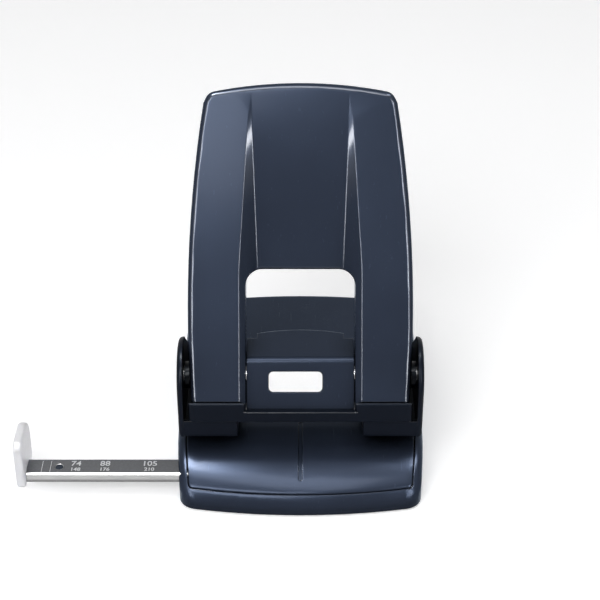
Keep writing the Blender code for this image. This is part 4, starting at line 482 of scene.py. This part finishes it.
def add_ruler_marks():
    """Index lines and plain size numbers, half lengths over whole lengths."""
    ink = ink_white("mark_ink")
    low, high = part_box("ruler_strip")
    top = high.z + INK_LIFT
    middle = (low.y + high.y) / 2 + 0.3 * MM
    for number, across in enumerate(INDEX_LINES):
        line = bmesh.new()
        bmesh.ops.create_cube(line, size=1.0)
        bmesh.ops.scale(line, vec=INDEX_LINE_SIZE, verts=line.verts)
        bmesh.ops.translate(line, vec=(across, middle, top), verts=line.verts)
        mesh_piece(f"index_line_{number + 1}", line, ink, "paper_guide")
    for across, half, whole in SIZE_MARKS:
        add_number(f"size_{half}", half, HALF_TEXT, (across * MM, middle + HALF_UP, top), ink)
        add_number(f"size_{whole}", whole, WHOLE_TEXT, (across * MM, middle - WHOLE_DOWN, top), ink)


def add_hole_shade_disc():
    """A dark disc in the guide's end hole, standing in for the shade inside the hole: painted
    shade.
    """
    low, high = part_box("ruler_strip")
    shape = bmesh.new()
    bmesh.ops.create_cone(shape, cap_ends=True, segments=32, radius1=SHADE_DISC_RADIUS,
                          radius2=SHADE_DISC_RADIUS, depth=SHADE_DISC_DEPTH)
    place = (low.x + SHADE_DISC_ACROSS, (low.y + high.y) / 2, high.z - SHADE_DISC_SUNK)
    bmesh.ops.translate(shape, vec=place, verts=shape.verts)
    mesh_piece("ruler_hole_shade_disc", shape, plastic("hole_shade_finish", DARK, 0.5, 0.01 * MM, specular=0.2),
               "paper_guide")


def climb(share):
    """How high the wire has come: slowly in the closed ends, and evenly between them."""
    if share < CLOSED:
        return CLOSED_RISE * share / CLOSED
    if share > 1.0 - CLOSED:
        return 1.0 - CLOSED_RISE + CLOSED_RISE * (share - (1.0 - CLOSED)) / CLOSED
    return CLOSED_RISE + (1.0 - 2 * CLOSED_RISE) * (share - CLOSED) / (1.0 - 2 * CLOSED)


def wound_wire(middle, radius, bottom, top):
    """A round wire wound about an upright line."""
    shape = bmesh.new()
    rings = []
    for index in range(STEPS + 1):
        share = index / STEPS
        angle = 2 * math.pi * TURNS * share
        out = Vector((math.cos(angle), math.sin(angle), 0.0))
        centre = Vector((middle.x, middle.y, bottom + (top - bottom) * climb(share)))
        ring = []
        for corner in range(RING):
            turn = 2 * math.pi * corner / RING
            spoke = out * math.cos(turn) + Vector((0.0, 0.0, 1.0)) * math.sin(turn)
            ring.append(shape.verts.new(centre + out * radius + spoke * WIRE))
        rings.append(ring)
    for first, second in zip(rings, rings[1:]):
        for corner in range(RING):
            after = (corner + 1) % RING
            shape.faces.new((first[corner], first[after], second[after], second[corner]))
    shape.faces.new(rings[0])
    shape.faces.new(rings[-1])
    bmesh.ops.recalc_face_normals(shape, faces=shape.faces)
    for face in shape.faces:
        face.smooth = True
    return shape


def add_spring(word):
    """A return spring with closed ends, wound in the CAD spring's box in place of that spring,
    which is hidden.
    """
    low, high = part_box(f"{word}_spring")
    middle = (low + high) / 2
    shape = wound_wire(middle, (high.x - low.x) / 2 - WIRE, low.z + WIRE, high.z - WIRE)
    wound = steel(f"{word}_wire", (0.55, 0.55, 0.56), 0.28, (1.0, 1.0, 0.1), 1200.0)
    piece = mesh_piece(f"{word}_return_spring", shape, wound, "root")
    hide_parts(f"{word}_spring")
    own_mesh(piece)


# ---------------------------------------------------------------- floor, world and lights
FLOOR_HALF_WIDTH = 4.0
FLOOR_COLOUR = (0.86, 0.86, 0.87, 1.0)
FLOOR_GLOW = 0.42  # as the camera and mirrors see it, on top of the lamps
WORLD_AS_LIGHT = 0.30
WORLD_AS_SEEN = 1.0
LAMPS_FACE = Vector((0.0, 0.0, 0.09))
# name, azimuth, elevation, distance, size, radiance, and whether only glossy surfaces see it
LIGHTS = (
    ("key", -18.0, 41.5, 1.2, (0.56, 0.54), 7.8, False),
    ("overhead", 0.0, 80.0, 1.2, (1.0, 0.6), 1.8, False),
    ("key_glint", -18.0, 41.5, 1.19, (0.56, 0.54), 8.0, True),
    ("strip_left", -36.0, 25.0, 1.2, (0.17, 0.8), 26.0, True),
    ("strip_right", 36.0, 25.0, 1.2, (0.17, 0.8), 26.0, True),
    ("top_glint", -30.0, 75.0, 1.2, (0.9, 0.35), 10.0, True),
    ("side_left", -98.0, 69.0, 1.2, (0.35, 0.35), 80.0, True),
    ("side_right", 104.0, 64.0, 1.2, (0.25, 0.35), 45.0, True),
)


def camera_like(tree):
    """1 for camera, mirror and see-through rays, 0 for the rest."""
    path = tree.nodes.new("ShaderNodeLightPath")
    seen = path.outputs["Is Camera Ray"]
    for ray in ("Is Glossy Ray", "Is Transmission Ray"):
        either = tree.nodes.new("ShaderNodeMath")
        either.operation = "MAXIMUM"
        tree.links.new(seen, either.inputs[0])
        tree.links.new(path.outputs[ray], either.inputs[1])
        seen = either.outputs[0]
    return seen


def add_floor():
    """A plain white table top that keeps the shadow."""
    shape = bmesh.new()
    bmesh.ops.create_grid(shape, x_segments=1, y_segments=1, size=FLOOR_HALF_WIDTH)
    mesh = bpy.data.meshes.new("floor")
    shape.to_mesh(mesh)
    shape.free()
    floor = bpy.data.objects.new("floor", mesh)
    bpy.context.scene.collection.objects.link(floor)
    surface = bpy.data.materials.new("floor")
    surface.use_nodes = True
    tree = surface.node_tree
    shader = tree.nodes["Principled BSDF"]
    shader.inputs["Base Color"].default_value = FLOOR_COLOUR
    shader.inputs["Roughness"].default_value = 0.9
    shader.inputs["Specular IOR Level"].default_value = 0.1
    shader.inputs["Emission Color"].default_value = (1.0, 1.0, 1.0, 1.0)
    lift = tree.nodes.new("ShaderNodeMath")
    lift.operation = "MULTIPLY"
    tree.links.new(camera_like(tree), lift.inputs[0])
    lift.inputs[1].default_value = FLOOR_GLOW
    tree.links.new(lift.outputs[0], shader.inputs["Emission Strength"])
    floor.data.materials.append(surface)


def add_world():
    """White where it is seen, and dimmer as a light."""
    world = bpy.data.worlds.new("studio")
    bpy.context.scene.world = world
    world.use_nodes = True
    tree = world.node_tree
    back = tree.nodes["Background"]
    level = tree.nodes.new("ShaderNodeMapRange")
    tree.links.new(camera_like(tree), level.inputs["Value"])
    level.inputs["To Min"].default_value = WORLD_AS_LIGHT
    level.inputs["To Max"].default_value = WORLD_AS_SEEN
    back.inputs["Color"].default_value = (1.0, 1.0, 1.0, 1.0)
    tree.links.new(level.outputs["Result"], back.inputs["Strength"])


def add_light(name, azimuth, elevation, distance, size, radiance, glint):
    """A softbox that faces the object. Azimuth 0 is the front, and 90 the picture's right.

    A glint light is seen in glossy surfaces only, so that it draws their edges.
    """
    around = math.radians(azimuth)
    up = math.radians(elevation)
    away = Vector((math.sin(around) * math.cos(up), -math.cos(around) * math.cos(up),
                   math.sin(up)))
    data = bpy.data.lights.new(name, "AREA")
    data.shape = "RECTANGLE"
    data.size, data.size_y = size
    data.energy = math.pi * size[0] * size[1] * radiance
    lamp = bpy.data.objects.new(name, data)
    bpy.context.scene.collection.objects.link(lamp)
    lamp.visible_diffuse = not glint
    lamp.location = LAMPS_FACE + away * distance
    lamp.rotation_euler = (-away).to_track_quat("-Z", "Y").to_euler()


add_camera()
dress_all()
add_ruler_marks()
add_hole_shade_disc()
for WORD in ("left", "right"):
    add_spring(WORD)
add_floor()
add_world()
for LIGHT in LIGHTS:
    add_light(*LIGHT)
bpy.context.scene.view_settings.view_transform = "Standard"
